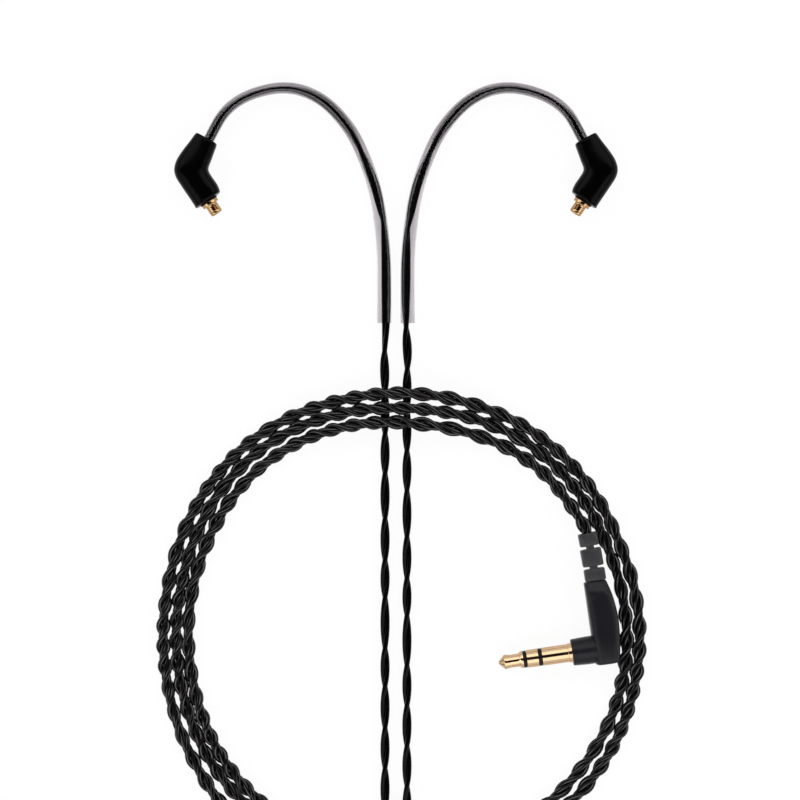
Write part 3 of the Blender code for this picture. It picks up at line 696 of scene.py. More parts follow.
def make_finish(name, tones, tone_scale, surface, surface_values, depth, painted_shade=None, **plain):
    """Material with drifting tone, optional painted shade, a surface effect for roughness and height, and
    plain values.
    """
    material = bpy.data.materials.get(name)
    if material:
        return material
    material = bpy.data.materials.new(name)
    material.use_nodes = True
    links = material.node_tree.links
    shader = material.node_tree.nodes["Principled BSDF"]
    first, second = tones
    tone = use_group(material, "tone", {"First Tone": (*first, 1.0), "Second Tone": (*second, 1.0),
                                        "Scale": tone_scale})
    links.new(tone.outputs["Colour"], shader.inputs["Base Color"])
    # Painted shade: where a piece's shade weight is 1 the base colour is mixed to the given darker colour,
    # standing in for shadow.
    if painted_shade:
        shade_amount = material.node_tree.nodes.new("ShaderNodeAttribute")
        shade_amount.attribute_name = "painted_shade"
        shade_mix = material.node_tree.nodes.new("ShaderNodeMix")
        shade_mix.data_type = "RGBA"
        shade_mix.inputs[7].default_value = (*painted_shade, 1.0)
        links.new(shade_amount.outputs["Fac"], shade_mix.inputs["Factor"])
        links.new(tone.outputs["Colour"], shade_mix.inputs[6])
        links.new(shade_mix.outputs[2], shader.inputs["Base Color"])
    effect = use_group(material, surface, surface_values)
    links.new(effect.outputs["Roughness"], shader.inputs["Roughness"])
    if surface == "strand":
        links.new(effect.outputs["Crests"], shader.inputs["Coat Weight"])
    bump = material.node_tree.nodes.new("ShaderNodeBump")
    bump.inputs["Strength"].default_value = 1.0
    bump.inputs["Distance"].default_value = depth * MM
    links.new(effect.outputs["Height"], bump.inputs["Height"])
    links.new(bump.outputs["Normal"], shader.inputs["Normal"])
    for label, value in plain.items():
        shader.inputs[label.replace("_", " ")].default_value = value
    return material


def tones_of(colour, change=0.8):
    """A colour and a slightly deeper tone of it."""
    colour = tuple(colour)
    return colour, tuple(part * change for part in colour)


def housing_finish(colours):
    """Glossy moulded plastic of the elbows."""
    return make_finish("housing_gloss", tones_of(colours.housing, 0.7), 220.0, "grain",
                       {"Scale": 2600.0, "Low": 0.18, "High": 0.24}, 0.0010, Specular_IOR_Level=0.055)


def plug_finish(colours):
    """Satin moulded plastic of the plug's body."""
    return make_finish("plug_satin", tones_of(colours.plug, 0.82), 400.0, "grain",
                       {"Scale": 5200.0, "Low": 0.2, "High": 0.3}, 0.0015, Specular_IOR_Level=0.14)


def relief_finish(colours):
    """Soft grey moulding of the strain relief."""
    return make_finish("relief_rubber", tones_of(colours.relief, 0.7), 500.0, "grain",
                       {"Scale": 4200.0, "Low": 0.38, "High": 0.5}, 0.003, Specular_IOR_Level=0.38)


def fitting_finish(colours):
    """Satin black of the split and the chin slider."""
    return make_finish("fitting_black", tones_of(colours.plug, 0.7), 350.0, "lathe",
                       {"Lines": 6.0, "Low": 0.3, "High": 0.42}, 0.001, Specular_IOR_Level=0.3)


def wire_finish(colours):
    """Glossy sheath over the main cable's stranded wires."""
    return make_finish("wire_sheath", (tuple(colours.wire), tuple(colours.wire_tint)), 180.0, "strand",
                       {"Strands": 5.0, "Lay": 0.12, "Low": 0.2, "High": 0.3, "Shine": 1.0}, 0.003,
                       Specular_IOR_Level=0.1, Specular_Tint=(1.0, 0.92, 0.98, 1.0),
                       Coat_Roughness=0.16, Coat_IOR=1.55)


def leg_finish(colours):
    """Deep black sheath over the legs' wires."""
    return make_finish("leg_sheath", tones_of(colours.wire, 0.7), 180.0, "strand",
                       {"Strands": 5.0, "Lay": 0.12, "Low": 0.1, "High": 0.16, "Shine": 0.08}, 0.002,
                       Specular_IOR_Level=0.06, Coat_Roughness=0.12)


def gold_finish(name, colour, change):
    """Gold plating over turned brass."""
    # Painted shade: marked grooves on the gold are painted dark brown in place of their shadow.
    return make_finish(name, tones_of(colour, change), 600.0, "lathe",
                       {"Lines": 14.0, "Low": 0.065, "High": 0.09}, 0.00002,
                       painted_shade=(0.16, 0.07, 0.022), Metallic=1.0,
                       Specular_Tint=(0.8, 0.72, 0.66, 1.0))


def ring_finish(colours):
    """Black insulating plastic between the plug's contacts."""
    return make_finish("insulator_plastic", tones_of((0.004, 0.0032, 0.003), 0.6), 500.0, "lathe",
                       {"Lines": 8.0, "Low": 0.3, "High": 0.4}, 0.001, Specular_IOR_Level=0.15)


def core_finish(colours):
    """White insulating plastic inside the coaxial plugs."""
    return make_finish("core_plastic", tones_of((0.82, 0.81, 0.77), 0.9), 500.0, "lathe",
                       {"Lines": 6.0, "Low": 0.38, "High": 0.5}, 0.001)


def tube_finish(colours):
    """Clear formed tube of the ear hooks, which lets the lamps reach the wires inside it."""
    # Painted shade: the clear tube is painted greyer where its shade weight is set, over the crown of the
    # hook.
    material = make_finish("hook_tube_clear", tones_of(colours.tube, 0.95), 150.0, "grain",
                           {"Scale": 420.0, "Low": 0.03, "High": 0.07}, 0.0008,
                           painted_shade=(0.54, 0.505, 0.53), Transmission_Weight=1.0, IOR=1.46)
    nodes, links = material.node_tree.nodes, material.node_tree.links
    if "Mix Shader" not in nodes:
        rays = nodes.new("ShaderNodeLightPath")
        clear = nodes.new("ShaderNodeBsdfTransparent")
        clear.inputs["Color"].default_value = (*colours.tube, 1.0)
        blend = nodes.new("ShaderNodeMixShader")
        links.new(rays.outputs["Is Shadow Ray"], blend.inputs["Fac"])
        links.new(nodes["Principled BSDF"].outputs["BSDF"], blend.inputs[1])
        links.new(clear.outputs["BSDF"], blend.inputs[2])
        links.new(blend.outputs["Shader"], nodes["Material Output"].inputs["Surface"])
    return material


def tie_finish(colours):
    """Soft black strip of the tie."""
    return make_finish("tie_strip", tones_of(colours.plug, 0.75), 400.0, "grain",
                       {"Scale": 2400.0, "Low": 0.5, "High": 0.65}, 0.006)


# Settings

def size_setting(name, words, default):
    """A length that a user may change."""
    return FloatProperty(name=name, description=words, default=default, min=0.0, unit="LENGTH",
                         precision=5)


def colour_setting(name, words, default):
    """A colour that a user may change."""
    return FloatVectorProperty(name=name, description=words, default=default, size=3, min=0.0,
                               max=1.0, subtype="COLOR")


class CableSizes(PropertyGroup):
    """Sizes of the cords and the clear tubes."""

    leg_wire: size_setting("Leg Wire", "Diameter of one of a leg's two wires", 0.00098)
    leg_lay: size_setting("Leg Lay", "Length of half a twist in the legs' spare part", 0.0081)
    main_wire: size_setting("Main Wire", "Diameter of one of the main cable's four wires", 0.00095)
    main_lay: size_setting("Main Lay", "Length of a full twist in the main cable", 0.0092)
    tube: size_setting("Tube", "Outside diameter of the ear hook at its crown", 0.0022)
    tube_end: size_setting("Tube End", "Outside diameter of the ear hook at its lower end", 0.00282)
    tube_wall: size_setting("Tube Wall", "Wall of the ear hook tube", 0.00014)


class CableColours(PropertyGroup):
    """Colours of the finishes."""

    housing: colour_setting("Housing", "Glossy elbow housings", (0.0007, 0.0006, 0.0009))
    plug: colour_setting("Plug", "Body of the right-angle plug", (0.0114, 0.0108, 0.0135))
    relief: colour_setting("Relief", "Strain relief", (0.0275, 0.0262, 0.0296))
    wire: colour_setting("Wire", "Sheath of the wires", (0.0013, 0.0011, 0.0018))
    wire_tint: colour_setting("Wire Tint", "Warmer tone of the sheath", (0.0036, 0.0028, 0.0026))
    tube: colour_setting("Tube", "Clear ear hooks", (0.76, 0.735, 0.755))
    gold: colour_setting("Gold", "Gold plating of the jack", (0.655, 0.45, 0.268))
    coax_gold: colour_setting("Coax Gold", "Deeper gold of the coaxial plugs", (0.49, 0.31, 0.152))


class CableStage(PropertyGroup):
    """Floor, light and camera."""

    lens: FloatProperty(name="Lens", description="Focal length of the camera", default=135.0, min=20.0,
                        unit="CAMERA")
    frame_width: size_setting("Frame Width", "Width that the camera sees at the cable", 0.1553)
    panel_height: size_setting("Panel Height", "Height of the two light panels", 0.9)
    panel_gap: size_setting("Panel Gap", "Dark gap between the two light panels", 0.62)
    panel_glow: FloatProperty(name="Panel Glow", description="Brightness of the two light panels",
                              default=1.95, min=0.0)
    floor: colour_setting("Floor", "Floor and backdrop", (0.95, 0.95, 0.95))
    glow: FloatProperty(name="Backdrop White", description="How far the backdrop is plain white to "
                        "the camera", default=0.93, min=0.0, max=1.0, subtype="FACTOR")
    world: FloatProperty(name="World", description="Strength of the even light all round",
                         default=0.02, min=0.0)


# Pieces

class EARCABLE_OT_stage(Operator):
    """Lay the white floor, hang two light panels and set the camera above"""

    bl_idname = "ear_cable.stage"
    bl_label = "Stage"

    def execute(self, context):
        settings = context.scene.ear_cable_stage
        scene = context.scene
        scene.view_settings.view_transform = "Standard"

        bm = bmesh.new()
        corners = [(0.0, 0.0), (1.5, 0.0)]
        corners += [(1.5 + 0.4 * math.sin(turn), 0.4 - 0.4 * math.cos(turn))
                    for turn in (math.pi / 2 * step / 8 for step in range(1, 9))]
        corners.append((1.9, 1.25))
        verts = [bm.verts.new((reach, 0.0, height)) for reach, height in corners]
        edges = [bm.edges.new(pair) for pair in zip(verts, verts[1:])]
        bmesh.ops.spin(bm, geom=verts + edges, axis=UP, cent=(0, 0, 0), dvec=(0, 0, 0),
                       angle=math.tau, steps=64, use_merge=True)
        bmesh.ops.remove_doubles(bm, verts=bm.verts, dist=1e-6)
        bmesh.ops.recalc_face_normals(bm, faces=bm.faces)
        if bm.faces[0].normal.z < 0:
            bmesh.ops.reverse_faces(bm, faces=bm.faces)
        mesh = bpy.data.meshes.new("floor")
        bm.to_mesh(mesh)
        bm.free()
        mesh.shade_smooth()
        mesh.materials.append(self.floor_finish(settings))
        floor = bpy.data.objects.new("floor", mesh)
        context.collection.objects.link(floor)

        half = settings.panel_gap / 2
        wide, deep = 3.2, 1.1
        for label, side in (("panel_far", 1.0), ("panel_near", -1.0)):
            light = bpy.data.lights.new(label, "AREA")
            light.shape = "RECTANGLE"
            light.size = wide
            light.size_y = deep
            light.energy = settings.panel_glow * math.pi * wide * deep
            panel = bpy.data.objects.new(label, light)
            panel.location = (0.0, side * (half + deep / 2) - 0.01, settings.panel_height)
            context.collection.objects.link(panel)

        world = bpy.data.worlds.new("room")
        world.use_nodes = True
        world.node_tree.nodes["Background"].inputs["Color"].default_value = (1.0, 1.0, 1.0, 1.0)
        world.node_tree.nodes["Background"].inputs["Strength"].default_value = settings.world
        scene.world = world

        lens = bpy.data.cameras.new("camera")
        lens.lens = settings.lens
        lens.sensor_width = 36.0
        lens.clip_start = 0.01
        camera = bpy.data.objects.new("camera", lens)
        distance = settings.frame_width * settings.lens / lens.sensor_width
        camera.location = (0.78 * MM, -38.43 * MM, distance + 2.0 * MM)
        context.collection.objects.link(camera)
        scene.camera = camera
        return {"FINISHED"}

    @staticmethod
    def floor_finish(settings):
        """White floor that stays white to the camera and still takes a soft shadow."""
        material = bpy.data.materials.new("floor_white")
        material.use_nodes = True
        nodes = material.node_tree.nodes
        links = material.node_tree.links
        nodes.clear()
        paint = nodes.new("ShaderNodeBsdfDiffuse")
        paint.inputs["Color"].default_value = (*settings.floor, 1.0)
        white = nodes.new("ShaderNodeEmission")
        path = nodes.new("ShaderNodeLightPath")
        seen = None
        for label in ("Is Camera Ray", "Is Glossy Ray", "Is Transmission Ray"):
            if seen is None:
                seen = path.outputs[label]
                continue
            most = nodes.new("ShaderNodeMath")
            most.operation = "MAXIMUM"
            links.new(seen, most.inputs[0])
            links.new(path.outputs[label], most.inputs[1])
            seen = most.outputs["Value"]
        share = nodes.new("ShaderNodeMath")
        share.operation = "MULTIPLY"
        share.inputs[1].default_value = settings.glow
        mix = nodes.new("ShaderNodeMixShader")
        leave = nodes.new("ShaderNodeOutputMaterial")
        links.new(seen, share.inputs[0])
        links.new(share.outputs["Value"], mix.inputs["Fac"])
        links.new(paint.outputs["BSDF"], mix.inputs[1])
        links.new(white.outputs["Emission"], mix.inputs[2])
        links.new(mix.outputs["Shader"], leave.inputs["Surface"])
        return material


class EARCABLE_OT_legs(Operator):
    """Twist two wires into each leg, from its housing to the split"""

    bl_idname = "ear_cable.legs"
    bl_label = "Legs"

    def execute(self, context):
        sizes = context.scene.ear_cable_sizes
        finish = leg_finish(context.scene.ear_cable_colours)
        radius = sizes.leg_wire / MM / 2
        bore = (sizes.tube / 2 - sizes.tube_wall) / MM
        grows = (sizes.tube_end - sizes.tube) / MM / 2
        for side, mirror in SIDES.items():
            line, hooked = leg_line(side)
            length = reaches(line)[-1]
            twist = list(LEG_FIRST_TURNS)
            twist += [(place, 2.0 + index) for index, place in enumerate(LEG_CROSSINGS[side])]
            while twist[-1][0] < length:
                twist.append((twist[-1][0] + sizes.leg_lay / MM, twist[-1][1] + 1.0))

            def offsets(place):
                index = 0
                while index < len(twist) - 2 and twist[index + 1][0] < place:
                    index += 1
                (low, before), (high, after) = twist[index:index + 2]
                share = (place - low) / (high - low)
                if after - before == 1.0:
                    share += 0.03 * math.sin(math.tau * share)
                phase = math.pi * (before + (after - before) * share)
                apart = radius * (0.86 + 0.06 * (1.0 - smoothstep((place - 4.0) / 7.0)))
                across, rise = apart * math.sin(phase), 0.86 * radius * math.cos(phase)
                share = min(place / hooked, 1.0)
                room = bore + grows * read_table(HOOK_FLARE, share) - radius
                free = max(0.0, math.sqrt(max(0.0, room ** 2 - rise ** 2)) - abs(across) - 0.02)
                loose = smoothstep((place - hooked) / 8.0)
                lean = max(-free, min(read_table(LEG_LEAN, share), free)) * (1.0 - loose) * mirror
                lift = LEG_LIFT * loose
                return [(across - lean, lift + rise), (-across - lean, lift - rise)]

            wires = wires_round(line, offsets)
            mesh = tube_mesh(side + "_leg_wires", wires, radius)
            nodes = [side + "_leg", side + "_leg_tail"] + (["leg_coil"] if side == "left" else [])
            piece = place_piece(side + "_leg_wires", mesh, finish, nodes, "wire_black")
        return {"FINISHED"}


class EARCABLE_OT_main_cable(Operator):
    """Twist two pairs of wires into the main cable and wind it into its open coil"""

    bl_idname = "ear_cable.main_cable"
    bl_label = "Main Cable"

    def execute(self, context):
        sizes = context.scene.ear_cable_sizes
        line = main_line()
        length = reaches(line)[-1]
        radius = sizes.main_wire / MM / 2

        def offsets(place):
            slow = noise.noise(Vector((place * 0.035, 3.7, 0.0)))
            phase = math.tau * (place / (sizes.main_lay / MM) + 0.5 * slow)
            loose = noise.noise(Vector((place * 0.06, 9.1, 0.0)))
            ends = min(smoothstep((place - 1.0) / 4.0), smoothstep((length - place - 2.4) / 5.0))
            fold = math.radians(60.0 - ends * (8.5 + 14.0 * loose))
            ply = Vector((2.0 * radius * math.cos(fold), 0.0))
            half = Vector((radius * math.cos(fold), radius * math.sin(fold)))
            wires = []
            for wire in (ply + half, ply - half, -ply - half, -ply + half):
                across = wire.x * math.sin(phase) - wire.y * math.cos(phase)
                rise = wire.x * math.cos(phase) + wire.y * math.sin(phase)
                wires.append((across, MAIN_LIFT + 0.76 * rise))
            return wires

        mesh = tube_mesh("main_wires", wires_round(line, offsets), radius, sides=3)
        finish = wire_finish(context.scene.ear_cable_colours)
        piece = place_piece("main_wires", mesh, finish, ["main_cable"], "wire_black")
        start, _ = split_axis()
        return {"FINISHED"}


class EARCABLE_OT_ear_hooks(Operator):
    """Draw the clear formed tubes over the upper part of both legs"""

    bl_idname = "ear_cable.ear_hooks"
    bl_label = "Ear Hooks"

    def execute(self, context):
        sizes = context.scene.ear_cable_sizes
        finish = tube_finish(context.scene.ear_cable_colours)
        flare = sizes.tube_end / sizes.tube - 1.0
        for side in SIDES:
            line = hook_line(side)
            last = len(line) - 1
            radii = [1.0 + flare * read_table(HOOK_FLARE, index / last) for index in range(last + 1)]
            mesh = tube_mesh(side + "_hook_tube", [line], sizes.tube / MM / 2, sides=10, radii=radii,
                             caps=False)
            bm = bmesh.new()
            bm.from_mesh(mesh)
            bmesh.ops.recalc_face_normals(bm, faces=bm.faces)
            bmesh.ops.solidify(bm, geom=bm.faces[:], thickness=sizes.tube_wall)
            if bm.calc_volume(signed=True) < 0:
                bmesh.ops.reverse_faces(bm, faces=bm.faces)
            bm.to_mesh(mesh)
            bm.free()
            mesh.shade_smooth()
            mesh.set_sharp_from_angle(angle=math.radians(40))
            # Painted shade weight: the tube is painted greyer from 2 mm up to 16 mm in Y, over the crown of
            # the hook.
            deep = mesh.attributes.new("painted_shade", "FLOAT", "POINT")
            crown_shade = [smoothstep((vert.co.y / MM - 2.0) / 14.0) for vert in mesh.vertices]
            deep.data.foreach_set("value", crown_shade)
            place_piece(side + "_hook_tube", mesh, finish, [side + "_ear_hook"], "hook_clear")
        return {"FINISHED"}


class EARCABLE_OT_housings(Operator):
    """Loft both moulded elbows with a socket at each end"""

    bl_idname = "ear_cable.housings"
    bl_label = "Connector Housings"

    def execute(self, context):
        finish = housing_finish(context.scene.ear_cable_colours)
        for side, mirror in SIDES.items():
            finish_piece(side + "_elbow", self.elbow(mirror), finish,
                         nodes=[side + "_connector_housing"], slot="housing_black")
        return {"FINISHED"}

    @staticmethod
    def elbow(mirror):
        """One elbow: tube socket, rounded end, swept body, round neck and plug socket."""
        outer = smooth_route([Vector((x * mirror, y, thick)) for (x, y), _, thick in HOUSING_STATIONS])
        inner = smooth_route([Vector((x * mirror, y, thick)) for _, (x, y), thick in HOUSING_STATIONS])
        body = []
        for outside, inside in list(zip(outer, inner))[::2]:
            thick = outside.z / 2
            outside = Vector((outside.x, outside.y, HOUSING_HEIGHT))
            inside = Vector((inside.x, inside.y, HOUSING_HEIGHT))
            span = inside - outside
            body.append(((outside + inside) / 2, span.normalized(), span.length / 2, thick))

        inside, mouth = route(LEFT_LEG_ROUTE[:2], mirror)
        axis = (mouth - inside).normalized()
        top, across, wide, tall = body[0]
        down = (body[1][0] - top).normalized()
        mouth = mouth - axis * ((mouth - top).dot(down) / axis.dot(down))
        tube_across = axis.cross(UP) * mirror
        bore = 1.1 + BORE_CLEARANCE
        sections = [(section(mouth - axis * 2.5, tube_across, bore, bore), 2.0),
                    (section(mouth - axis * 0.12, tube_across, bore, bore), 2.0),
                    (section(mouth, tube_across, bore + 0.12, bore + 0.12), 2.0)]
        edge = 0.32
        for step in range(5):
            turn = math.pi / 2 * step / 4
            trim = edge * (1.0 - math.sin(turn))
            centre = top + down * (edge * (1.0 - math.cos(turn)))
            sections.append((section(centre, across, wide - trim, tall - trim), 2.5))
        sections += [(section(*part), 2.5) for part in body[2:]]

        place = connector_matrix(mirror)
        end = place.translation
        axis = (place.to_3x3() @ ALONG_X).normalized()
        across = UP.cross(axis) * mirror
        _, _, wide, tall = body[-1]
        for trim, along in ((0.04, 0.06), (0.13, 0.17), (0.28, 0.235), (0.46, 0.25)):
            sections.append((section(end + axis * along, across, wide - trim, tall - trim), 2.5))
        for along, radius in ((0.25, 2.0), (0.28, 1.9), (0.33, 1.86), (0.5, 1.86), (0.57, 1.82),
                              (0.6, 1.74), (0.6, 1.26), (-1.1, 1.26)):
            sections.append((section(end + axis * along, across, radius, radius), 2.0))
        return loft(sections)


class EARCABLE_OT_coax_plugs(Operator):
    """Turn both push-on coaxial plugs: shell, split snap ring, insulator and centre pin"""

    bl_idname = "ear_cable.coax_plugs"
    bl_label = "Coaxial Plugs"

    def execute(self, context):
        colours = context.scene.ear_cable_colours
        gold = gold_finish("coax_gold", colours.coax_gold, 0.85)
        for side, mirror in SIDES.items():
            place = connector_matrix(mirror)
            shell = turned(((-0.9, 1.14), (0.66, 1.14), (0.66, 1.68), (1.22, 1.68), (1.22, 1.28),
                            (1.36, 1.18), (1.62, 1.18), (1.62, 0.96), (2.72, 0.96), (2.72, 1.18),
                            (3.14, 1.18), (3.3, 1.02), (3.3, 0.92), (3.2, 0.82), (-0.9, 0.82)))
            soften(shell, 0.03)
            # Painted shade on the groove floor under the split snap ring, seen through the ring's gap.
            finish_piece(side + "_coax_body", shell, gold, place,
                         painted_shade=lambda point: 1.6 < point.x < 2.74 and point.yz.length < 1.1
                         and point.yz.length > 0.9,
                         nodes=[side + "_coax_shell"], slot="gold_plating")
            core = turned(((-0.9, 0.3), (-0.9, 0.76), (2.3, 0.76), (2.3, 0.3)))
            soften(core, 0.04)
            finish_piece(side + "_coax_core", core, core_finish(colours), place,
                         nodes=[side + "_coax_insulator"], slot="insulator_white")
            pin = turned(((-0.9, 0.0), (-0.9, 0.24), (2.76, 0.24), (2.88, 0.2), (2.95, 0.14), (3.0, 0.0)),
                         sides=32)
            finish_piece(side + "_coax_centre", pin, gold, place,
                         nodes=[side + "_coax_pin"], slot="gold_plating")

            gap = math.radians(46.0)
            ring = turned(((1.65, 1.02), (1.65, 1.19), (2.69, 1.19), (2.69, 1.02)), sides=56,
                          angle=math.tau - gap)
            soften(ring, 0.02)
            start = math.radians(90.0 - mirror * 14.0) + gap / 2
            bmesh.ops.rotate(ring, cent=(0, 0, 0), verts=ring.verts,
                             matrix=Matrix.Rotation(start, 3, "X"))
            finish_piece(side + "_coax_ring", ring, gold, place,
                         nodes=[side + "_snap_ring"], slot="gold_plating")
        return {"FINISHED"}


class EARCABLE_OT_jack(Operator):
    """Turn the plug's three contacts and the two insulators between them"""

    bl_idname = "ear_cable.jack"
    bl_label = "Jack Contacts"

    def execute(self, context):
        colours = context.scene.ear_cable_colours
        gold, black = gold_finish("jack_gold", colours.gold, 0.92), ring_finish(colours)
        back = JACK_LENGTH
        parts = (
            ("jack_tip", "plug_tip", gold, "gold_plating", 0.05,
             ((0.0, 0.0), (0.03, 0.2), (0.1, 0.36), (1.1, 1.34), (1.2, 1.4), (1.45, 1.4), (2.0, 1.29),
              (2.4, 1.26), (3.6, 1.26), (3.92, 1.3), (4.12, 1.42), (4.4, 1.6), (4.56, 1.65), (4.78, 1.66),
              (4.78, 0.5), (back + 3.2, 0.5), (back + 3.2, 0.0))),
            ("jack_front_insulator", "plug_front_insulator", black, "insulator_black", 0.03,
             ((4.82, 0.58), (4.82, 1.62), (5.46, 1.66), (5.46, 0.82), (back + 2.4, 0.82),
              (back + 2.4, 0.58))),
            ("jack_ring", "plug_ring", gold, "gold_plating", 0.05,
             ((5.5, 0.9), (5.5, 1.7), (7.73, 1.74), (7.73, 1.12), (back + 1.6, 1.12),
              (back + 1.6, 0.9))),
            ("jack_rear_insulator", "plug_rear_insulator", black, "insulator_black", 0.03,
             ((7.77, 1.19), (7.77, 1.7), (8.46, 1.7), (8.46, 1.36), (back + 0.9, 1.36),
              (back + 0.9, 1.19))),
            ("jack_sleeve", "plug_sleeve", gold, "gold_plating", 0.05,
             ((8.5, 1.44), (8.5, 1.74), (back - 0.7, 1.75), (back - 0.66, 1.87), (back - 0.08, 1.87),
              (back - 0.08, 2.05), (back + 2.8, 2.05), (back + 2.8, 1.44))),
        )
        for name, node, finish, slot, edge, profile in parts:
            bm = turned(profile, sides=72)
            soften(bm, edge)
            finish_piece(name, bm, finish, plug_matrix(), nodes=[node], slot=slot)
        return {"FINISHED"}


class EARCABLE_OT_plug_body(Operator):
    """Loft the plug's moulded body with its round collar, and the slotted strain relief"""

    bl_idname = "ear_cable.plug_body"
    bl_label = "Plug Body"

    def execute(self, context):
        colours = context.scene.ear_cable_colours
        sections = []
        for place, near, far, tall in smooth_route([Vector(part) for part in BODY_STATIONS])[::4]:
            centre = Vector(((near + far) / 2, place, 0.0))
            sections.append((section(centre, ALONG_X, (far - near) / 2, tall), 3.2))
        for place in (BODY_STATIONS[-1][0], 10.7):
            sections.append((section(Vector((BODY_AXIS, place, 0.0)), ALONG_X, 1.45, 1.45), 3.4))
        body = loft(sections, sides=64)
        start = JACK_LENGTH
        collar = turned(((start + 3.6, 0.0), (start + 3.6, 2.15), (start + 0.06, 2.15), (start, 2.2),
                         (start, 2.4), (start + 0.05, 2.48), (start + 0.18, 2.58), (start + 3.0, 2.72),
                         (19.85, 2.72), (19.85, 0.0)), sides=72)
        body = combine(body, collar, "UNION")
        finish_piece("jack_body", body, plug_finish(colours), plug_matrix(), nodes=["plug_body"],
                     slot="plug_black")
        finish_piece("jack_relief", self.relief(), relief_finish(colours), plug_matrix(),
                     nodes=["plug_strain_relief"], slot="relief_grey")
        return {"FINISHED"}

    @staticmethod
    def relief():
        """Three soft blocks joined by thin upright webs, with a socket for the cable."""
        sections = []

        def add(place, wide, tall, roundness=3.6):
            centre = Vector((relief_axis(place), place, 0.0))
            across = Vector((1.0, relief_axis(place - 0.5) - relief_axis(place + 0.5), 0.0)).normalized()
            sections.append((section(centre, across, wide, tall), roundness))

        for start, end, wide, tall in RELIEF_PARTS:
            edge = 0.26 if wide > 1.5 else 0.0
            if not edge:
                add(start, wide, tall)
                add(end, wide, tall)
                continue
            for flip, anchor in ((1.0, start), (-1.0, end)):
                steps = range(4) if flip > 0 else range(3, -1, -1)
                for step in steps:
                    turn = math.pi / 2 * step / 3
                    trim = edge * (1.0 - math.sin(turn))
                    add(anchor + flip * edge * (1.0 - math.cos(turn)), wide - trim, tall - trim)
        for place, radius in ((RELIEF_END, 1.4), (RELIEF_END - 0.08, 1.32),
                              (RELIEF_END - CABLE_SOCKET_DEPTH, 1.32)):
            add(place, radius, radius, 2.0)
        return loft(sections, sides=56)


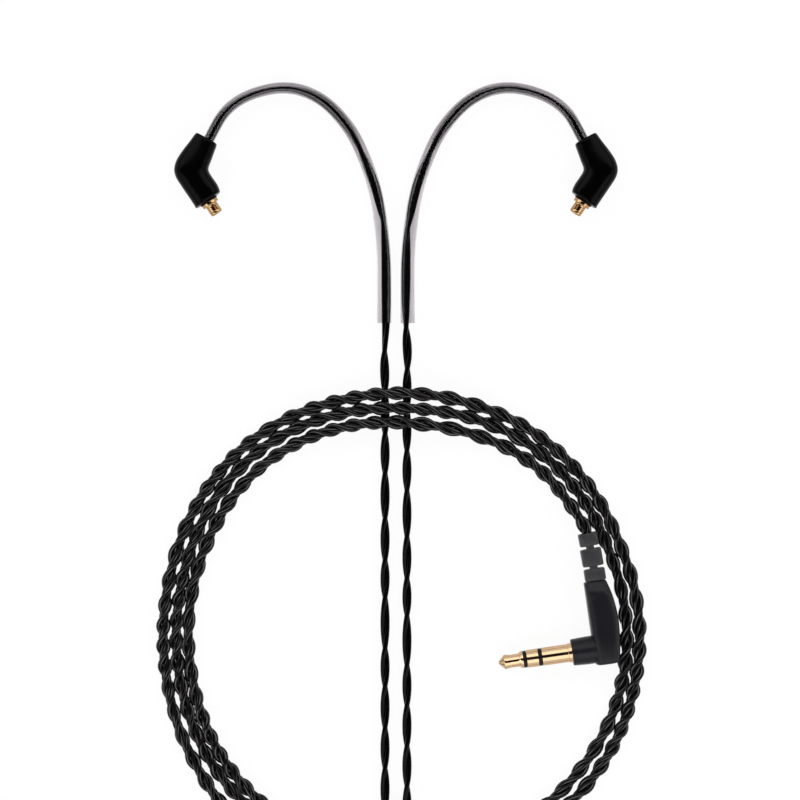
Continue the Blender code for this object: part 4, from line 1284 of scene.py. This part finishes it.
class EARCABLE_OT_fittings(Operator):
    """Turn the split, mould the chin slider and tie the coil of spare leg"""

    bl_idname = "ear_cable.fittings"
    bl_label = "Split, Slider and Tie"

    def execute(self, context):
        colours = context.scene.ear_cable_colours
        self.split(fitting_finish(colours))
        self.slider(fitting_finish(colours))
        self.tie(tie_finish(colours))
        return {"FINISHED"}

    @staticmethod
    def split(finish):
        """Turned barrel with two grooves, one bore for the cable and two for the legs."""
        wide = SPLIT_RADIUS
        profile = [(SPLIT_BORE_DEPTH, 0.0), (SPLIT_BORE_DEPTH, 1.32), (0.0, 1.32), (0.0, wide - 0.55),
                   (0.16, wide - 0.2), (0.5, wide)]
        for groove in (2.6, SPLIT_LENGTH - 2.6):
            profile += [(groove - 0.4, wide), (groove - 0.2, wide - 0.2), (groove + 0.2, wide - 0.2),
                        (groove + 0.4, wide)]
        profile += [(SPLIT_LENGTH - 0.3, wide), (SPLIT_LENGTH - 0.08, wide - 0.08),
                    (SPLIT_LENGTH, wide - 0.28), (SPLIT_LENGTH, 0.0)]
        barrel = turned(profile, sides=72)
        bore_end = SPLIT_LENGTH - SPLIT_BORE_DEPTH - BORE_CLEARANCE
        for offset in (SPLIT_LEG_OFFSET, -SPLIT_LEG_OFFSET):
            bore = turned(((bore_end, 0.0), (bore_end, 0.97), (SPLIT_LENGTH + 1.0, 0.97),
                           (SPLIT_LENGTH + 1.0, 0.0)), sides=40)
            bmesh.ops.translate(bore, vec=(0.0, offset, 0.0), verts=bore.verts)
            barrel = combine(barrel, bore, "DIFFERENCE")
        start, heading = split_axis()
        turn = Matrix.Rotation(math.atan2(heading.y, heading.x), 4, "Z")
        finish_piece("split_shell", barrel, finish, Matrix.Translation(start) @ turn,
                     nodes=["split_barrel"], slot="insulator_black")

    @staticmethod
    def slider(finish):
        """Oval bead with two bores."""
        sections = []
        for drop, trim in ((0.0, 0.5), (0.04, 0.3), (0.16, 0.14), (0.5, 0.0), (2.2, 0.02), (3.2, 0.1),
                           (4.2, 0.02), (5.9, 0.0), (6.24, 0.14), (6.36, 0.3), (6.4, 0.5)):
            centre = Vector((0.0, SLIDER_TOP - drop, SLIDER_HALF_HEIGHT + 0.05))
            sections.append((section(centre, ALONG_X, SLIDER_HALF_WIDTH - trim,
                                     SLIDER_HALF_HEIGHT - trim * 0.4), 2.8))
        bead = loft(sections, sides=64)
        for offset in (-LEG_OFFSET, LEG_OFFSET):
            bore = loft([(section(Vector((offset, place, LEG_HEIGHT)), ALONG_X, 0.97, 0.97), 2.0)
                         for place in (SLIDER_TOP + 1.0, SLIDER_TOP - SLIDER_LENGTH - 1.0)], sides=40)
            bead = combine(bead, bore, "DIFFERENCE")
        finish_piece("slider_bead", bead, finish, nodes=["chin_slider"], slot="insulator_black",
                     body="slider")

    @staticmethod
    def tie(finish):
        """Flat strip wrapped round the small coil, with its two ends twisted together outside."""
        angle = math.radians(TIE_ANGLE)
        outwards = Vector((math.cos(angle), math.sin(angle), 0.0))
        along = UP.cross(outwards)
        middle = Vector((*SPARE_CENTRE, TIE_HEIGHT)) + outwards * TIE_RADIUS
        bm = loft([(section(middle + along * place, outwards, TIE_HALF_DEPTH, TIE_HALF_HEIGHT), 3.4)
                   for place in (-TIE_HALF_WIDTH, TIE_HALF_WIDTH)], sides=48)
        ends = [face for face in bm.faces if len(face.verts) == 48]
        bmesh.ops.delete(bm, geom=ends, context="FACES_ONLY")
        bmesh.ops.recalc_face_normals(bm, faces=bm.faces)
        bmesh.ops.solidify(bm, geom=bm.faces[:], thickness=2 * TIE_HALF_THICK)

        for side in (1.0, -1.0):
            sections = []
            for step in range(41):
                place = TIE_END * step / 40
                apart = max(0.0, place - TIE_TWISTED)
                roll = Matrix.Rotation(math.tau * 2 * smoothstep(place / TIE_TWISTED), 3, outwards)
                across, rise = roll @ along, roll @ UP
                height = 1.3 - 0.58 * smoothstep(place / 1.8) - 0.6 * smoothstep(apart / 2.5)
                centre = middle + outwards * (TIE_HALF_DEPTH + place) + along * (side * 0.5 * apart)
                centre.z = height
                sections.append((section(centre + rise * (side * TIE_HALF_THICK), across,
                                         0.62, TIE_HALF_THICK, rise), 3.0))
            strip = loft(sections, sides=16)
            mesh = bpy.data.meshes.new("strip")
            strip.to_mesh(mesh)
            strip.free()
            bm.from_mesh(mesh)
            bpy.data.meshes.remove(mesh)
        finish_piece("coil_tie", bm, finish)


class EARCABLE_PT_pieces(Panel):
    """Sizes, colours and pieces of the cable"""

    bl_idname = "EARCABLE_PT_pieces"
    bl_label = "In-Ear Monitor Cable"
    bl_space_type = "VIEW_3D"
    bl_region_type = "UI"
    bl_category = "Ear Cable"

    def draw(self, context):
        column = self.layout.column()
        for settings in (context.scene.ear_cable_sizes, context.scene.ear_cable_colours,
                         context.scene.ear_cable_stage):
            for name in settings.__annotations__:
                column.prop(settings, name)
        for operator in OPERATORS:
            column.operator(operator.bl_idname)


OPERATORS = (
    EARCABLE_OT_stage, EARCABLE_OT_fittings, EARCABLE_OT_jack, EARCABLE_OT_plug_body,
    EARCABLE_OT_legs, EARCABLE_OT_main_cable, EARCABLE_OT_ear_hooks, EARCABLE_OT_housings,
    EARCABLE_OT_coax_plugs,
)
CLASSES = (CableSizes, CableColours, CableStage, *OPERATORS, EARCABLE_PT_pieces)


def register():
    """Register the classes and hang the settings on the scene."""
    for item in CLASSES:
        bpy.utils.register_class(item)
    bpy.types.Scene.ear_cable_sizes = PointerProperty(type=CableSizes)
    bpy.types.Scene.ear_cable_colours = PointerProperty(type=CableColours)
    bpy.types.Scene.ear_cable_stage = PointerProperty(type=CableStage)


def unregister():
    """Take the settings and the classes away again."""
    del bpy.types.Scene.ear_cable_stage
    del bpy.types.Scene.ear_cable_colours
    del bpy.types.Scene.ear_cable_sizes
    for item in reversed(CLASSES):
        bpy.utils.unregister_class(item)


def main():
    """Build every piece in order."""
    register()
    bpy.ops.ear_cable.stage()
    bpy.ops.ear_cable.fittings()
    bpy.ops.ear_cable.jack()
    bpy.ops.ear_cable.plug_body()
    bpy.ops.ear_cable.legs()
    bpy.ops.ear_cable.main_cable()
    bpy.ops.ear_cable.ear_hooks()
    bpy.ops.ear_cable.housings()
    bpy.ops.ear_cable.coax_plugs()


if __name__ == "__main__":
    main()
